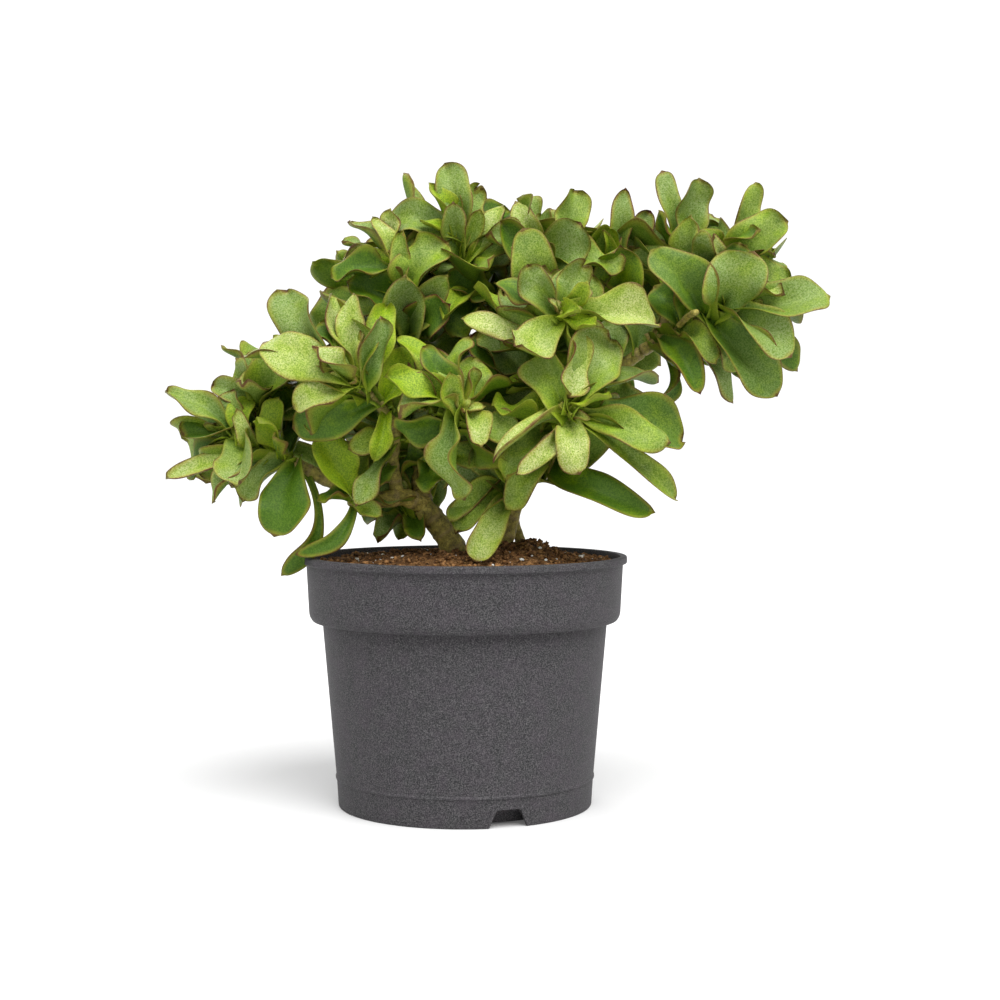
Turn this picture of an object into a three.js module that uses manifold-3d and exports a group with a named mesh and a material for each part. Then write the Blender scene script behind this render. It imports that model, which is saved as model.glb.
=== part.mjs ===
// Potted ripple jade: a branched succulent with wavy paired leaves, rooted in a round nursery pot.
// Millimetres, +Z up. The front is -Y. The origin is on the ground under the middle of the whole plant.
import * as THREE from 'three';
import Module from 'manifold-3d';
import { mergeVertices } from 'three/addons/utils/BufferGeometryUtils.js';

const wasm = await Module();
wasm.setup();

// ---------------------------------------------------------------- driving dimensions

const RIM_RADIUS = 85;
const POT_HEIGHT = 131;
const FOOT_RADIUS = 66.5;
const WALL = 1.6;
const COLLAR_DEPTH = 34;
const COLLAR_STEP = 7;
const LIP = 2;
const FLOOR_TOP = 8.5;
const POT_SIDES = 40;

const NOTCH_HEIGHT = 9.2;
const NOTCH_BOTTOM_WIDTH = 19.3;
const NOTCH_TOP_WIDTH = 12.1;
const NOTCH_REACH = 8;
const NOTCH_TURNS = [20, 140, 260];

const SOIL_AT_WALL = 125;
const SOIL_AT_STEMS = 133;

// The plant leans to the right and back, so the pot's axis stands off the middle of the whole plant.
const POT_X = -15;
const POT_Y = -6;

const GAP = 0.3;
const MERGE_DISTANCE = 1e-3;
const LEAF_THICKNESS = 2.8;
const LEAF_FOLD = 0.1;

// The plant is laid out on a front elevation as the eye sees it from EYE: x and z are read on the upright
// plane through the pot's axis, and depth is how far behind that plane the point is (in front if negative).
const EYE = new THREE.Vector3(18, -957, 196);

function sighted(x, z, depth) {
  const reach = (depth - EYE.y) / -EYE.y;
  return new THREE.Vector3(
    POT_X + EYE.x + (x - EYE.x) * reach,
    POT_Y + depth,
    EYE.z + (z - EYE.z) * reach,
  );
}

// ---------------------------------------------------------------- the plant's layout

// Woody stems: start and end radius, then the points [x, z, depth] they pass through.
const WOOD = {
  trunk_left: [6.4, 5.4, [[-1, 112, -4], [-4, 130, -4], [-12, 144, -6], [-22, 156, -8]]],
  trunk_right: [4.4, 3.6, [[19, 112, 2], [19, 129, 2], [22, 142, 3], [26, 157, 4], [31, 173, 5], [36, 190, 8]]],
  branch_low_left: [4.4, 3.4, [[-22, 157, -8], [-32, 161, -14], [-47, 160, -18], [-60, 165, -18],
    [-75, 172, -18], [-85, 176, -18]]],
  branch_crown_left: [4.2, 2.8, [[-21, 157, -7], [-24, 172, 2], [-22, 196, 10], [-26, 222, 10], [-29, 244, 4]]],
  branch_crown: [3.6, 2.8, [[36, 190, 9], [32, 212, 14], [22, 236, 16], [10, 260, 14]]],
  branch_far_right: [3.6, 3.0, [[36, 190, 7], [54, 206, 10], [74, 223, 8], [92, 237, 2]]],
  stub_pruned: [2.6, 2.2, [[31, 118, 14], [30, 134, 13], [25, 152, 11]]],
  stub_dried: [1.5, 2.2, [[112, 251, -22], [117, 256, -34], [121, 258, -44]]],
};

// Leafy shoots: start and end radius, stem points, then one row for each leaf:
// own node's name or '', base [x, z], tip [x, z, depth], width, face [turn, lift], arch, twist.
// The leaf's upper side looks along face: turn 0 is to the front and 90 to the right, and lift 90 is up.
const SHOOTS = {
  left: [3.0, 2.0, [[-84, 176, -18], [-98, 182, -20], [-113, 188, -20], [-124, 195, -18]], [
    ['', [-121, 193], [-156, 215, -22], 14, [-20, 40], 0.12, 25],
    ['', [-113, 188], [-119, 167, -42], 23, [-25, 20], 0.06, 0],
    ['', [-110, 187], [-120, 205, -36], 10, [-20, 10], 0.05, 0],
    ['', [-118, 190], [-148, 175, -6], 12, [0, 60], 0.1, 0],
    ['', [-112, 186], [-156, 171, -26], 11, [-10, 12], 0.02, 10],
    ['', [-100, 182], [-130, 158, -36], 14, [-30, 40], 0.2, 0],
    ['', [-90, 178], [-117, 160, -28], 14, [-20, 25], 0.12, 0],
    ['left_hanging', [-88, 177], [-101, 142, -40], 25, [-10, 15], 0.08, 0],
    ['', [-92, 179], [-108, 204, -44], 15, [-50, 0], -0.08, 15],
    ['', [-96, 181], [-100, 193, -46], 9, [30, 20], 0, 0],
    ['rim_left_long', [-85, 176], [-96, 120, -22], 12, [10, 10], 0.1, -10],
    ['', [-90, 178], [-96, 152, -10], 15, [0, 10], 0.08, 0],
  ]],
  left_upper: [2.4, 1.8, [[-98, 183, -14], [-104, 196, -10], [-107, 210, -10], [-107, 218, -10]], [
    ['', [-107, 206], [-133, 221, -14], 12, [0, 30], 0.1, 0],
    ['', [-107, 212], [-120, 233, -12], 14, [-20, 20], 0, 0],
    ['', [-106, 208], [-116, 221, -32], 17, [0, 20], 0, 0],
    ['', [-107, 217], [-122, 243, -6], 11, [90, 0], 0, 0],
    ['', [-107, 214], [-97, 236, -4], 13, [10, 0], 0, 0],
  ]],
  left_front: [3.4, 2.2, [[-36, 164, -13], [-38, 180, -20], [-37, 196, -28], [-45, 210, -40], [-56, 219, -52]], [
    ['left_pale', [-58, 220], [-106, 246, -48], 22, [0, 25], 0.1, 0],
    ['', [-57, 220], [-92, 268, -30], 24, [-10, 10], 0.08, 0],
    ['', [-57, 220], [-114, 235, -30], 18, [0, 40], 0.1, 0],
    ['', [-57, 220], [-76, 241, -68], 13, [30, 30], -0.05, 0],
    ['', [-57, 220], [-73, 265, -40], 13, [60, 0], 0, 0],
    ['', [-56, 219], [-71, 273, -26], 11, [50, 0], 0.05, 0],
    ['', [-56, 219], [-58, 267, -45], 13, [0, 5], 0.05, 0],
    ['', [-56, 219], [-44, 255, -58], 17, [10, 5], 0.05, 0],
    ['', [-54, 217], [-40, 265, -34], 15, [20, 20], 0.05, 0],
    ['left_spoon', [-56, 218], [-91, 210, -58], 16, [0, 30], 0.1, 0],
    ['left_wavy', [-46, 210], [-90, 197, -48], 21, [0, 0], 0.05, 0],
    ['', [-42, 205], [-47, 180, -46], 10, [0, 10], 0.1, 0],
    ['', [-38, 186], [-57, 157, -40], 12, [0, 20], 0.1, 0],
    ['', [-37, 192], [-60, 186, -34], 12, [0, 30], 0.1, 0],
    ['', [-38, 178], [-48, 165, -36], 9, [0, 20], 0.1, 0],
  ]],
  low_left: [2.2, 1.8, [[-58, 166, -16], [-58, 160, -22], [-60, 158, -27]], [
    ['', [-57, 160], [-88, 131, -32], 9, [0, 15], 0.1, 0],
    ['', [-59, 159], [-77, 161, -34], 10, [0, 40], 0.1, 0],
    ['', [-58, 161], [-44, 152, -36], 10, [0, 20], 0.1, 0],
  ]],
  low_centre: [2.2, 1.8, [[-12, 148, -2], [-24, 150, 2], [-33, 149, 2]], [
    ['', [-33, 149], [-46, 139, -12], 12, [0, 30], 0.1, 0],
    ['', [-27, 149], [-23, 138, -18], 12, [0, 20], 0.1, 0],
    ['', [-33, 149], [-55, 152, 8], 12, [0, 40], 0.1, 0],
    ['', [-30, 149], [-34, 143, 30], 13, [180, 40], 0.1, 0],
  ]],
  crown_left: [2.8, 2.0, [[-29, 245, 3], [-31, 262, -3], [-35, 281, -4]], [
    ['', [-34, 274], [-70, 279, -12], 17, [0, 40], 0.1, 0],
    ['', [-35, 280], [-64, 290, 10], 11, [0, 30], 0.1, 0],
    ['', [-35, 280], [-58, 308, 2], 12, [40, 0], 0.05, 20],
    ['', [-35, 280], [-46, 309, -8], 10, [30, 0], 0.05, 0],
    ['', [-35, 281], [-38, 311, -2], 10, [-30, 0], 0, 0],
    ['', [-34, 276], [-31, 313, 8], 12, [0, 0], 0.05, 0],
    ['', [-34, 276], [-27, 330, 16], 13, [85, 0], 0.03, 0],
    ['', [-33, 272], [-34, 298, -18], 10, [0, 10], 0, 0],
    ['', [-32, 266], [-12, 296, -16], 24, [0, 25], 0.08, 0],
    ['top_left_broad', [-29, 246], [-30, 278, -26], 20, [0, 10], 0.08, 0],
    ['', [-29, 248], [-9, 277, -20], 15, [10, 10], 0.05, 0],
    ['', [-30, 254], [-60, 262, 16], 15, [-60, 40], 0.1, 0],
  ]],
  crown: [3.0, 2.0, [[9, 262, 13], [2, 278, 8], [-4, 296, 4]], [
    ['crown_tall', [-4, 295], [-11, 336, 2], 18, [0, 5], 0.03, 0],
    ['', [-4, 294], [6, 322, 14], 15, [20, 0], 0.05, 0],
    ['', [-4, 294], [-17, 325, -4], 10, [60, 0], 0, 0],
    ['', [-4, 294], [-20, 308, -10], 8, [20, 20], 0, 0],
    ['', [0, 284], [-6, 315, -12], 13, [-40, 0], 0, 0],
    ['', [-1, 286], [8, 311, -6], 10, [10, 0], 0, 0],
    ['', [0, 284], [19, 314, 4], 12, [0, 10], 0.05, 0],
    ['', [6, 268], [9, 286, -28], 20, [0, 25], 0.05, 0],
    ['', [8, 263], [-12, 258, -28], 10, [0, 50], 0.1, 0],
    ['', [2, 278], [-22, 290, 26], 15, [-120, 40], 0.1, 0],
  ]],
  crown_right: [2.8, 2.0, [[32, 214, 12], [38, 240, 8], [42, 262, 4], [45, 280, 4], [50, 293, 4]], [
    ['', [46, 284], [26, 316, 2], 13, [-10, 10], 0.05, 0],
    ['', [42, 266], [19, 305, -12], 16, [0, 5], 0.05, 0],
    ['', [46, 284], [41, 309, 16], 14, [0, 0], 0.05, 0],
    ['crown_wide', [44, 270], [60, 304, -8], 24, [0, 10], 0.05, 0],
    ['', [50, 292], [44, 311, 6], 10, [40, 20], 0, 0],
    ['', [50, 292], [58, 321, 8], 17, [0, 0], 0.05, 0],
    ['centre_tall', [41, 258], [31, 297, -34], 24, [0, 5], 0.08, 0],
    ['', [36, 232], [22, 252, 26], 15, [200, 30], 0.1, 0],
    ['', [42, 262], [66, 276, 22], 16, [150, 30], 0.1, 0],
  ]],
  centre_front: [3.2, 2.2, [[36, 196, 2], [38, 212, -6], [42, 232, -24], [48, 248, -42], [51, 255, -54]], [
    ['', [48, 250], [16, 273, -48], 15, [0, 40], 0.1, 0],
    ['centre_pink_tip', [42, 233], [3, 260, -50], 14, [0, 30], 0.08, 0],
    ['', [42, 232], [4, 268, -24], 13, [0, 40], 0.08, 0],
    ['centre_round', [51, 254], [25, 239, -74], 22, [0, 20], -0.05, 0],
    ['', [51, 253], [55, 214, -68], 15, [60, 20], 0.08, 0],
    ['right_pink_rim', [51, 255], [101, 253, -40], 22, [0, 25], 0.08, 0],
    ['', [51, 255], [64, 274, -64], 9, [0, 20], 0, 0],
    ['', [51, 255], [57, 261, -76], 8, [0, 30], 0, 0],
    ['', [51, 255], [69, 250, -70], 9, [0, 40], 0, 0],
    ['', [39, 216], [24, 221, -40], 14, [0, 30], 0.1, 0],
    ['', [37, 206], [5, 212, -40], 27, [0, 20], 0.08, 0],
    ['', [50, 252], [55, 281, -44], 15, [0, -10], -0.05, 0],
  ]],
  front: [3.0, 2.0, [[-20, 170, -6], [-16, 182, -24], [-8, 197, -48], [-2, 205, -60]], [
    ['', [-6, 200], [-34, 247, -46], 13, [0, 30], 0.1, 0],
    ['', [-4, 203], [-22, 238, -56], 14, [0, 50], 0.08, 0],
    ['', [-4, 203], [-2, 247, -48], 16, [0, -20], 0.05, 0],
    ['front_wavy', [-3, 205], [-41, 225, -70], 16, [0, 35], 0.08, 0],
    ['', [-3, 205], [-35, 209, -78], 16, [0, 40], 0.1, 0],
    ['', [-2, 205], [-8, 226, -76], 12, [-20, 20], 0, 0],
    ['', [-6, 200], [-38, 197, -56], 15, [0, -30], 0.08, 0],
    ['front_twisted', [-2, 204], [-6, 160, -72], 18, [-20, 10], 0.08, 50],
    ['', [-2, 204], [9, 190, -74], 11, [20, 30], 0.05, 0],
    ['', [-2, 205], [3, 229, -58], 10, [60, 0], 0, 0],
    ['', [-17, 178], [-18, 163, -36], 13, [0, 20], 0.1, 0],
    ['', [-17, 178], [-38, 176, -6], 14, [-60, 40], 0.1, 0],
  ]],
  low_front: [2.6, 2.0, [[28, 163, 0], [27, 162, -14], [25, 161, -26]], [
    ['rim_front', [25, 161], [1, 127, -50], 19, [0, 25], 0.1, 0],
    ['', [26, 162], [-1, 148, -44], 16, [0, 40], 0.08, 0],
  ]],
  right_front: [3.0, 2.2, [[34, 182, 2], [44, 188, -16], [52, 198, -42], [55, 204, -58]], [
    ['', [50, 195], [21, 172, -60], 16, [0, 40], 0.08, 0],
    ['', [46, 190], [22, 159, -52], 15, [0, 20], 0.08, 0],
    ['', [54, 203], [31, 174, -80], 10, [20, 20], 0.05, 0],
    ['', [55, 204], [19, 178, -76], 10, [0, 60], 0.2, 20],
    ['', [55, 204], [76, 214, -74], 10, [0, 60], 0.1, 0],
    ['', [54, 202], [60, 176, -74], 16, [0, 10], 0.08, 0],
    ['low_right_upper', [55, 203], [106, 189, -62], 19, [0, 30], 0.08, 0],
    ['', [54, 202], [115, 192, -44], 28, [0, 15], 0.08, 0],
    ['', [55, 204], [108, 161, -42], 12, [0, 30], 0.1, 0],
    ['low_right_long', [44, 184], [98, 160, -60], 20, [0, 20], 0.08, 0],
    ['right_broad', [55, 204], [78, 247, -50], 26, [0, 15], 0.08, 0],
    ['', [55, 204], [101, 230, -42], 20, [0, 30], 0.08, 0],
  ]],
  far_right: [3.0, 2.2, [[93, 238, 1], [110, 248, -10], [128, 256, -20], [144, 259, -24]], [
    ['far_right_tip', [144, 259], [190, 266, -28], 22, [0, 25], 0.08, 0],
    ['', [143, 259], [166, 269, -38], 11, [0, 60], 0.08, 0],
    ['far_right_fold', [133, 257], [171, 236, -44], 22, [0, 35], 0.08, 0],
    ['far_right_low', [126, 255], [164, 215, -36], 24, [0, 20], 0.1, 0],
    ['', [138, 258], [173, 228, -12], 14, [0, 10], 0.08, 0],
    ['far_right_round', [131, 257], [150, 288, -48], 28, [0, 10], 0.05, 0],
    ['', [124, 254], [100, 291, -40], 22, [0, 15], 0.08, 0],
    ['', [112, 249], [99, 272, -14], 18, [0, 20], 0.08, 0],
    ['', [104, 245], [130, 235, -40], 13, [0, 40], 0.1, 0],
    ['', [99, 242], [123, 216, -34], 11, [0, 50], 0.2, 30],
    ['', [106, 246], [144, 212, -8], 13, [0, 20], 0.1, 0],
    ['', [99, 241], [103, 206, -24], 11, [60, 10], 0.2, 0],
    ['', [96, 240], [112, 229, -28], 9, [0, 40], 0.05, 0],
  ]],
  far_right_upper: [2.4, 1.8, [[112, 251, -4], [125, 266, -4], [134, 277, -6], [138, 286, -8]], [
    ['far_right_top', [137, 282], [168, 305, -18], 22, [0, 15], 0.05, 0],
    ['', [135, 279], [150, 304, -26], 14, [-20, 30], 0.05, 0],
    ['', [138, 285], [151, 324, -4], 12, [30, 10], 0.03, 0],
    ['', [130, 272], [116, 307, -22], 14, [-30, 20], 0.1, 0],
    ['', [125, 266], [125, 302, -34], 13, [0, 5], 0.05, 0],
    ['', [133, 276], [134, 295, -36], 8, [0, 10], 0, 0],
  ]],
  far_right_back: [2.4, 1.8, [[104, 249, 2], [107, 270, 12], [113, 292, 12]], [
    ['', [113, 291], [121, 327, 6], 18, [0, 0], 0.03, 0],
    ['', [112, 289], [103, 331, 12], 13, [40, 0], 0.03, 0],
    ['', [112, 288], [101, 310, -2], 10, [-50, 10], 0, 0],
    ['', [112, 288], [134, 306, 34], 16, [140, 30], 0.1, 0],
  ]],
  right_back: [2.6, 2.0, [[66, 219, 12], [76, 240, 22], [80, 262, 26], [80, 284, 24]], [
    ['', [80, 283], [84, 322, 18], 16, [0, 5], 0.03, 0],
    ['', [80, 281], [97, 311, 22], 13, [-30, 0], 0.03, 0],
    ['back_right_broad', [80, 263], [81, 292, -8], 26, [0, 10], 0.05, 0],
    ['', [80, 283], [74, 302, 8], 9, [20, 20], 0, 0],
    ['', [80, 262], [61, 285, 10], 16, [-10, 20], 0.08, 0],
    ['', [80, 268], [105, 288, 18], 16, [10, 20], 0.08, 0],
    ['', [80, 270], [70, 290, 54], 17, [190, 30], 0.1, 0],
  ]],
};

// Shoots at the back: stem points, then how many leaf pairs sit on the tip and how long they are.
const BACK_SHOOTS = {
  back_left: [[[-36, 164, -3], [-52, 190, 26], [-68, 212, 56]], 3, 42],
  back_far_left: [[[-84, 177, -11], [-97, 184, 10], [-105, 190, 30]], 3, 38],
  back_low: [[[-20, 168, 2], [-14, 178, 34], [-10, 188, 66]], 3, 42],
  back_middle: [[[-25, 214, 16], [-24, 228, 44], [-22, 240, 70]], 3, 42],
  back_crown_left: [[[-31, 250, 10], [-44, 262, 32], [-52, 272, 50]], 3, 36],
  back_crown: [[[13, 258, 20], [18, 272, 40], [20, 284, 56]], 3, 40],
  back_right_low: [[[37, 184, 13], [42, 196, 42], [44, 208, 68]], 3, 42],
  back_right: [[[52, 212, 16], [62, 228, 44], [66, 242, 64]], 3, 42],
  back_far_right: [[[95, 244, 6], [108, 252, 28], [118, 260, 46]], 3, 40],
};

// ---------------------------------------------------------------- materials

function finish(colour, roughness) {
  return new THREE.MeshStandardMaterial({ color: colour, roughness, metalness: 0 });
}

const FINISHES = {
  pot: finish(0x56545a, 0.62),
  soil: finish(0x4a2f1c, 0.95),
  wood: finish(0x6b5a3a, 0.8),
  shoot: finish(0x74913f, 0.5),
  leaf: finish(0x8aa45c, 0.45),
};

// ---------------------------------------------------------------- solids

// Joins rings of points into a closed skin, with a fan to the first and the last point.
function loft(first, rings, last) {
  const sides = rings[0].length;
  const points = [first, ...rings.flat(), last];
  const faces = [];
  const at = (ring, side) => 1 + ring * sides + (side % sides);
  for (let side = 0; side < sides; side += 1) {
    faces.push(0, at(0, side + 1), at(0, side));
    for (let ring = 0; ring + 1 < rings.length; ring += 1) {
      faces.push(at(ring, side), at(ring, side + 1), at(ring + 1, side + 1));
      faces.push(at(ring, side), at(ring + 1, side + 1), at(ring + 1, side));
    }
    faces.push(points.length - 1, at(rings.length - 1, side), at(rings.length - 1, side + 1));
  }
  const geometry = new THREE.BufferGeometry().setFromPoints(points);
  geometry.setIndex(faces);
  return geometry;
}

function toSolid(geometry) {
  const bare = geometry.clone();
  bare.deleteAttribute('normal');
  bare.deleteAttribute('uv');
  const merged = mergeVertices(bare, MERGE_DISTANCE);
  return new wasm.Manifold(new wasm.Mesh({
    numProp: 3,
    vertProperties: new Float32Array(merged.attributes.position.array),
    triVerts: new Uint32Array(merged.index.array),
  }));
}

function toGeometry(solid) {
  const data = solid.getMesh();
  const geometry = new THREE.BufferGeometry();
  geometry.setAttribute('position', new THREE.BufferAttribute(new Float32Array(data.vertProperties), 3));
  geometry.setIndex(new THREE.BufferAttribute(new Uint32Array(data.triVerts), 1));
  return geometry;
}

function largestBody(solid) {
  const bodies = solid.decompose();
  return bodies.reduce((best, body) => (body.volume() > best.volume() ? body : best));
}

// Two bodies that met in a hair's width come apart once their corners are merged, so it is merged first.
function toMesh(name, solid, material) {
  const merged = largestBody(toSolid(toGeometry(solid)));
  const geometry = toGeometry(merged);
  geometry.computeVertexNormals();
  const mesh = new THREE.Mesh(geometry, material);
  mesh.name = name;
  return mesh;
}

function unionOf(solids) {
  return solids.reduce((whole, solid) => whole.add(solid));
}

// A round stem along a smooth curve, its radius changing evenly. grow makes it fatter and longer.
const STEM_SIDES = 7;

function stemSolid(points, startRadius, endRadius, stepsPerPoint, grow) {
  const curve = new THREE.CatmullRomCurve3(points.map((point) => sighted(...point)));
  const steps = (points.length - 1) * stepsPerPoint;
  const frames = curve.computeFrenetFrames(steps, false);
  const rings = [];
  for (let step = 0; step <= steps; step += 1) {
    const along = step / steps;
    const centre = curve.getPointAt(along);
    const radius = THREE.MathUtils.lerp(startRadius, endRadius, along) + grow;
    const end = step === 0 ? -grow : step === steps ? grow : 0;
    centre.addScaledVector(frames.tangents[step], end);
    rings.push(Array.from({ length: STEM_SIDES }, (_, side) => {
      const angle = (side / STEM_SIDES) * Math.PI * 2;
      return centre.clone()
        .addScaledVector(frames.normals[step], Math.cos(angle) * radius)
        .addScaledVector(frames.binormals[step], Math.sin(angle) * radius);
    }));
  }
  const middle = (ring) => ring.reduce((sum, point) => sum.add(point), new THREE.Vector3())
    .divideScalar(ring.length);
  return toSolid(loft(middle(rings[0]), rings, middle(rings[steps])));
}

// The leaf outline: half width at each station, as a share of the full half width.
const OUTLINE = [[0.16, 0.26], [0.45, 0.62], [0.72, 1.0], [0.92, 0.72]];

function faceDirection(turn, lift) {
  const turned = THREE.MathUtils.degToRad(turn);
  const lifted = THREE.MathUtils.degToRad(lift);
  return new THREE.Vector3(
    Math.sin(turned) * Math.cos(lifted),
    -Math.cos(turned) * Math.cos(lifted),
    Math.sin(lifted),
  );
}

function leafSolid({ base, tip, width, face, arch, twist }, grow) {
  const chord = tip.clone().sub(base);
  const rise = face.clone().addScaledVector(chord, -face.dot(chord) / chord.lengthSq()).normalize();
  const bow = base.clone().lerp(tip, 0.5).addScaledVector(rise, 2 * arch * chord.length());
  const curve = new THREE.QuadraticBezierCurve3(base, bow, tip);
  const rings = OUTLINE.map(([along, share]) => {
    const centre = curve.getPoint(along);
    const tangent = curve.getTangent(along);
    const up = rise.clone().addScaledVector(tangent, -rise.dot(tangent)).normalize();
    up.applyAxisAngle(tangent, THREE.MathUtils.degToRad(twist * along));
    const side = tangent.clone().cross(up);
    const half = (width / 2) * share + grow;
    const deep = LEAF_THICKNESS / 2 + grow;
    const edge = (reach) => centre.clone()
      .addScaledVector(side, reach)
      .addScaledVector(up, LEAF_FOLD * width * share);
    return [
      edge(-half),
      centre.clone().addScaledVector(up, deep),
      edge(half),
      centre.clone().addScaledVector(up, -deep),
    ];
  });
  const past = grow * 1.5;
  const start = base.clone().addScaledVector(curve.getTangent(0), -past);
  const end = tip.clone().addScaledVector(curve.getTangent(1), past);
  return toSolid(loft(start, rings, end));
}

// ---------------------------------------------------------------- pot and soil

const COLLAR_BOTTOM = POT_HEIGHT - COLLAR_DEPTH;
const COLLAR_TOP_RADIUS = RIM_RADIUS - LIP;
const COLLAR_LOW_RADIUS = COLLAR_TOP_RADIUS - 1.5;
const BODY_TOP_RADIUS = COLLAR_LOW_RADIUS - COLLAR_STEP;

function revolve(profile) {
  const points = profile.map(([radius, height]) => new THREE.Vector2(radius, height));
  const geometry = new THREE.LatheGeometry(points, POT_SIDES);
  geometry.rotateX(Math.PI / 2);
  geometry.translate(POT_X, POT_Y, 0);
  return toSolid(geometry);
}

function drainNotch(turn) {
  const outline = new THREE.Shape([
    new THREE.Vector2(-NOTCH_BOTTOM_WIDTH / 2 - 1, -1),
    new THREE.Vector2(NOTCH_BOTTOM_WIDTH / 2 + 1, -1),
    new THREE.Vector2(NOTCH_TOP_WIDTH / 2, NOTCH_HEIGHT),
    new THREE.Vector2(-NOTCH_TOP_WIDTH / 2, NOTCH_HEIGHT),
  ]);
  const depth = NOTCH_REACH + 6;
  const geometry = new THREE.ExtrudeGeometry(outline, { depth, bevelEnabled: false });
  geometry.rotateX(Math.PI / 2);
  geometry.translate(0, -(FOOT_RADIUS - NOTCH_REACH), 0);
  geometry.rotateZ(THREE.MathUtils.degToRad(turn));
  geometry.translate(POT_X, POT_Y, 0);
  return toSolid(geometry);
}

function potSolid() {
  const underside = FLOOR_TOP - 2;
  const shell = revolve([
    [0, underside],
    [FOOT_RADIUS - 2.3, underside],
    [FOOT_RADIUS - 2.1, 0],
    [FOOT_RADIUS, 0],
    [BODY_TOP_RADIUS, COLLAR_BOTTOM],
    [COLLAR_LOW_RADIUS - 2.5, COLLAR_BOTTOM],
    [COLLAR_LOW_RADIUS, COLLAR_BOTTOM + 2.5],
    [COLLAR_TOP_RADIUS, POT_HEIGHT - 4],
    [RIM_RADIUS, POT_HEIGHT - 3.4],
    [RIM_RADIUS, POT_HEIGHT - 0.6],
    [RIM_RADIUS - 0.8, POT_HEIGHT],
    [COLLAR_TOP_RADIUS - WALL, POT_HEIGHT],
    [COLLAR_LOW_RADIUS - WALL, COLLAR_BOTTOM + WALL + 1],
    [BODY_TOP_RADIUS - WALL, COLLAR_BOTTOM + WALL],
    [FOOT_RADIUS - WALL, FLOOR_TOP],
    [0, FLOOR_TOP],
  ]);
  return NOTCH_TURNS.reduce((solid, turn) => solid.subtract(drainNotch(turn)), shell);
}

function soilProfile(grow) {
  const inset = WALL + GAP;
  return [
    [0, FLOOR_TOP + GAP],
    [FOOT_RADIUS - inset, FLOOR_TOP + GAP],
    [BODY_TOP_RADIUS - inset, COLLAR_BOTTOM + WALL + GAP],
    [COLLAR_LOW_RADIUS - inset - 0.3, COLLAR_BOTTOM + WALL + 1 + GAP],
    [COLLAR_TOP_RADIUS - inset - 0.6, SOIL_AT_WALL + grow],
    [58, SOIL_AT_WALL + 3 + grow],
    [30, SOIL_AT_STEMS - 1 + grow],
    [0, SOIL_AT_STEMS + grow],
  ];
}

// The space that leaves keep clear of: the pot's collar and lip, grown by the gap.
function collarKeepOut() {
  const inner = COLLAR_LOW_RADIUS - WALL - GAP - 0.3;
  return revolve([
    [inner, COLLAR_BOTTOM - 1],
    [RIM_RADIUS + GAP, COLLAR_BOTTOM - 1],
    [RIM_RADIUS + GAP, POT_HEIGHT + GAP],
    [inner, POT_HEIGHT + GAP],
    [inner, COLLAR_BOTTOM - 1],
  ]);
}

// ---------------------------------------------------------------- leaves from the layout

function nearestOn(stem, x, z) {
  const curve = new THREE.CatmullRomCurve3(stem.map((point) => new THREE.Vector3(...point)));
  const places = curve.getPoints(40);
  const away = (place) => Math.hypot(place.x - x, place.y - z);
  const place = places.reduce((best, next) => (away(next) < away(best) ? next : best));
  return sighted(place.x, place.y, place.z);
}

function listedLeaf(stem, row) {
  const [name, [x, z], tip, width, [turn, lift], arch, twist] = row;
  return {
    name,
    base: nearestOn(stem, x, z),
    tip: sighted(...tip),
    width,
    face: faceDirection(turn, lift),
    arch,
    twist,
  };
}

// A shoot tip seen end on is a cross of leaf pairs, each pair a quarter turn from the last.
function pairedLeaves(stem, pairs, length) {
  const points = stem.map((point) => sighted(...point));
  const end = points.at(-1);
  const along = end.clone().sub(points.at(-2)).normalize();
  const level = new THREE.Vector3(0, 0, 1).cross(along).normalize();
  const leaves = [];
  for (let pair = 0; pair < pairs; pair += 1) {
    for (const half of [0, 180]) {
      const angle = THREE.MathUtils.degToRad(half + pair * 90 + pair * 11 + 20);
      const outward = level.clone().applyAxisAngle(along, angle);
      const spread = THREE.MathUtils.degToRad(72 - pair * 17);
      const heading = along.clone().multiplyScalar(Math.cos(spread)).addScaledVector(outward, Math.sin(spread));
      const reach = length * (1 - pair * 0.14);
      const base = end.clone().addScaledVector(along, (pair - pairs + 0.7) * 5);
      leaves.push({
        name: '',
        base,
        tip: base.clone().addScaledVector(heading, reach),
        width: reach * 0.48,
        face: along.clone().addScaledVector(outward, -0.3).normalize(),
        arch: 0.08,
        twist: 0,
      });
    }
  }
  return leaves;
}

function layOutShoots() {
  const shoots = Object.entries(SHOOTS).map(([name, [startRadius, endRadius, stem, rows]]) => ({
    name, startRadius, endRadius, stem, leaves: rows.map((row) => listedLeaf(stem, row)),
  }));
  for (const [name, [stem, pairs, length]] of Object.entries(BACK_SHOOTS)) {
    shoots.push({ name, startRadius: 2.6, endRadius: 1.8, stem, leaves: pairedLeaves(stem, pairs, length) });
  }
  return shoots;
}

// ---------------------------------------------------------------- assembly

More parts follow.
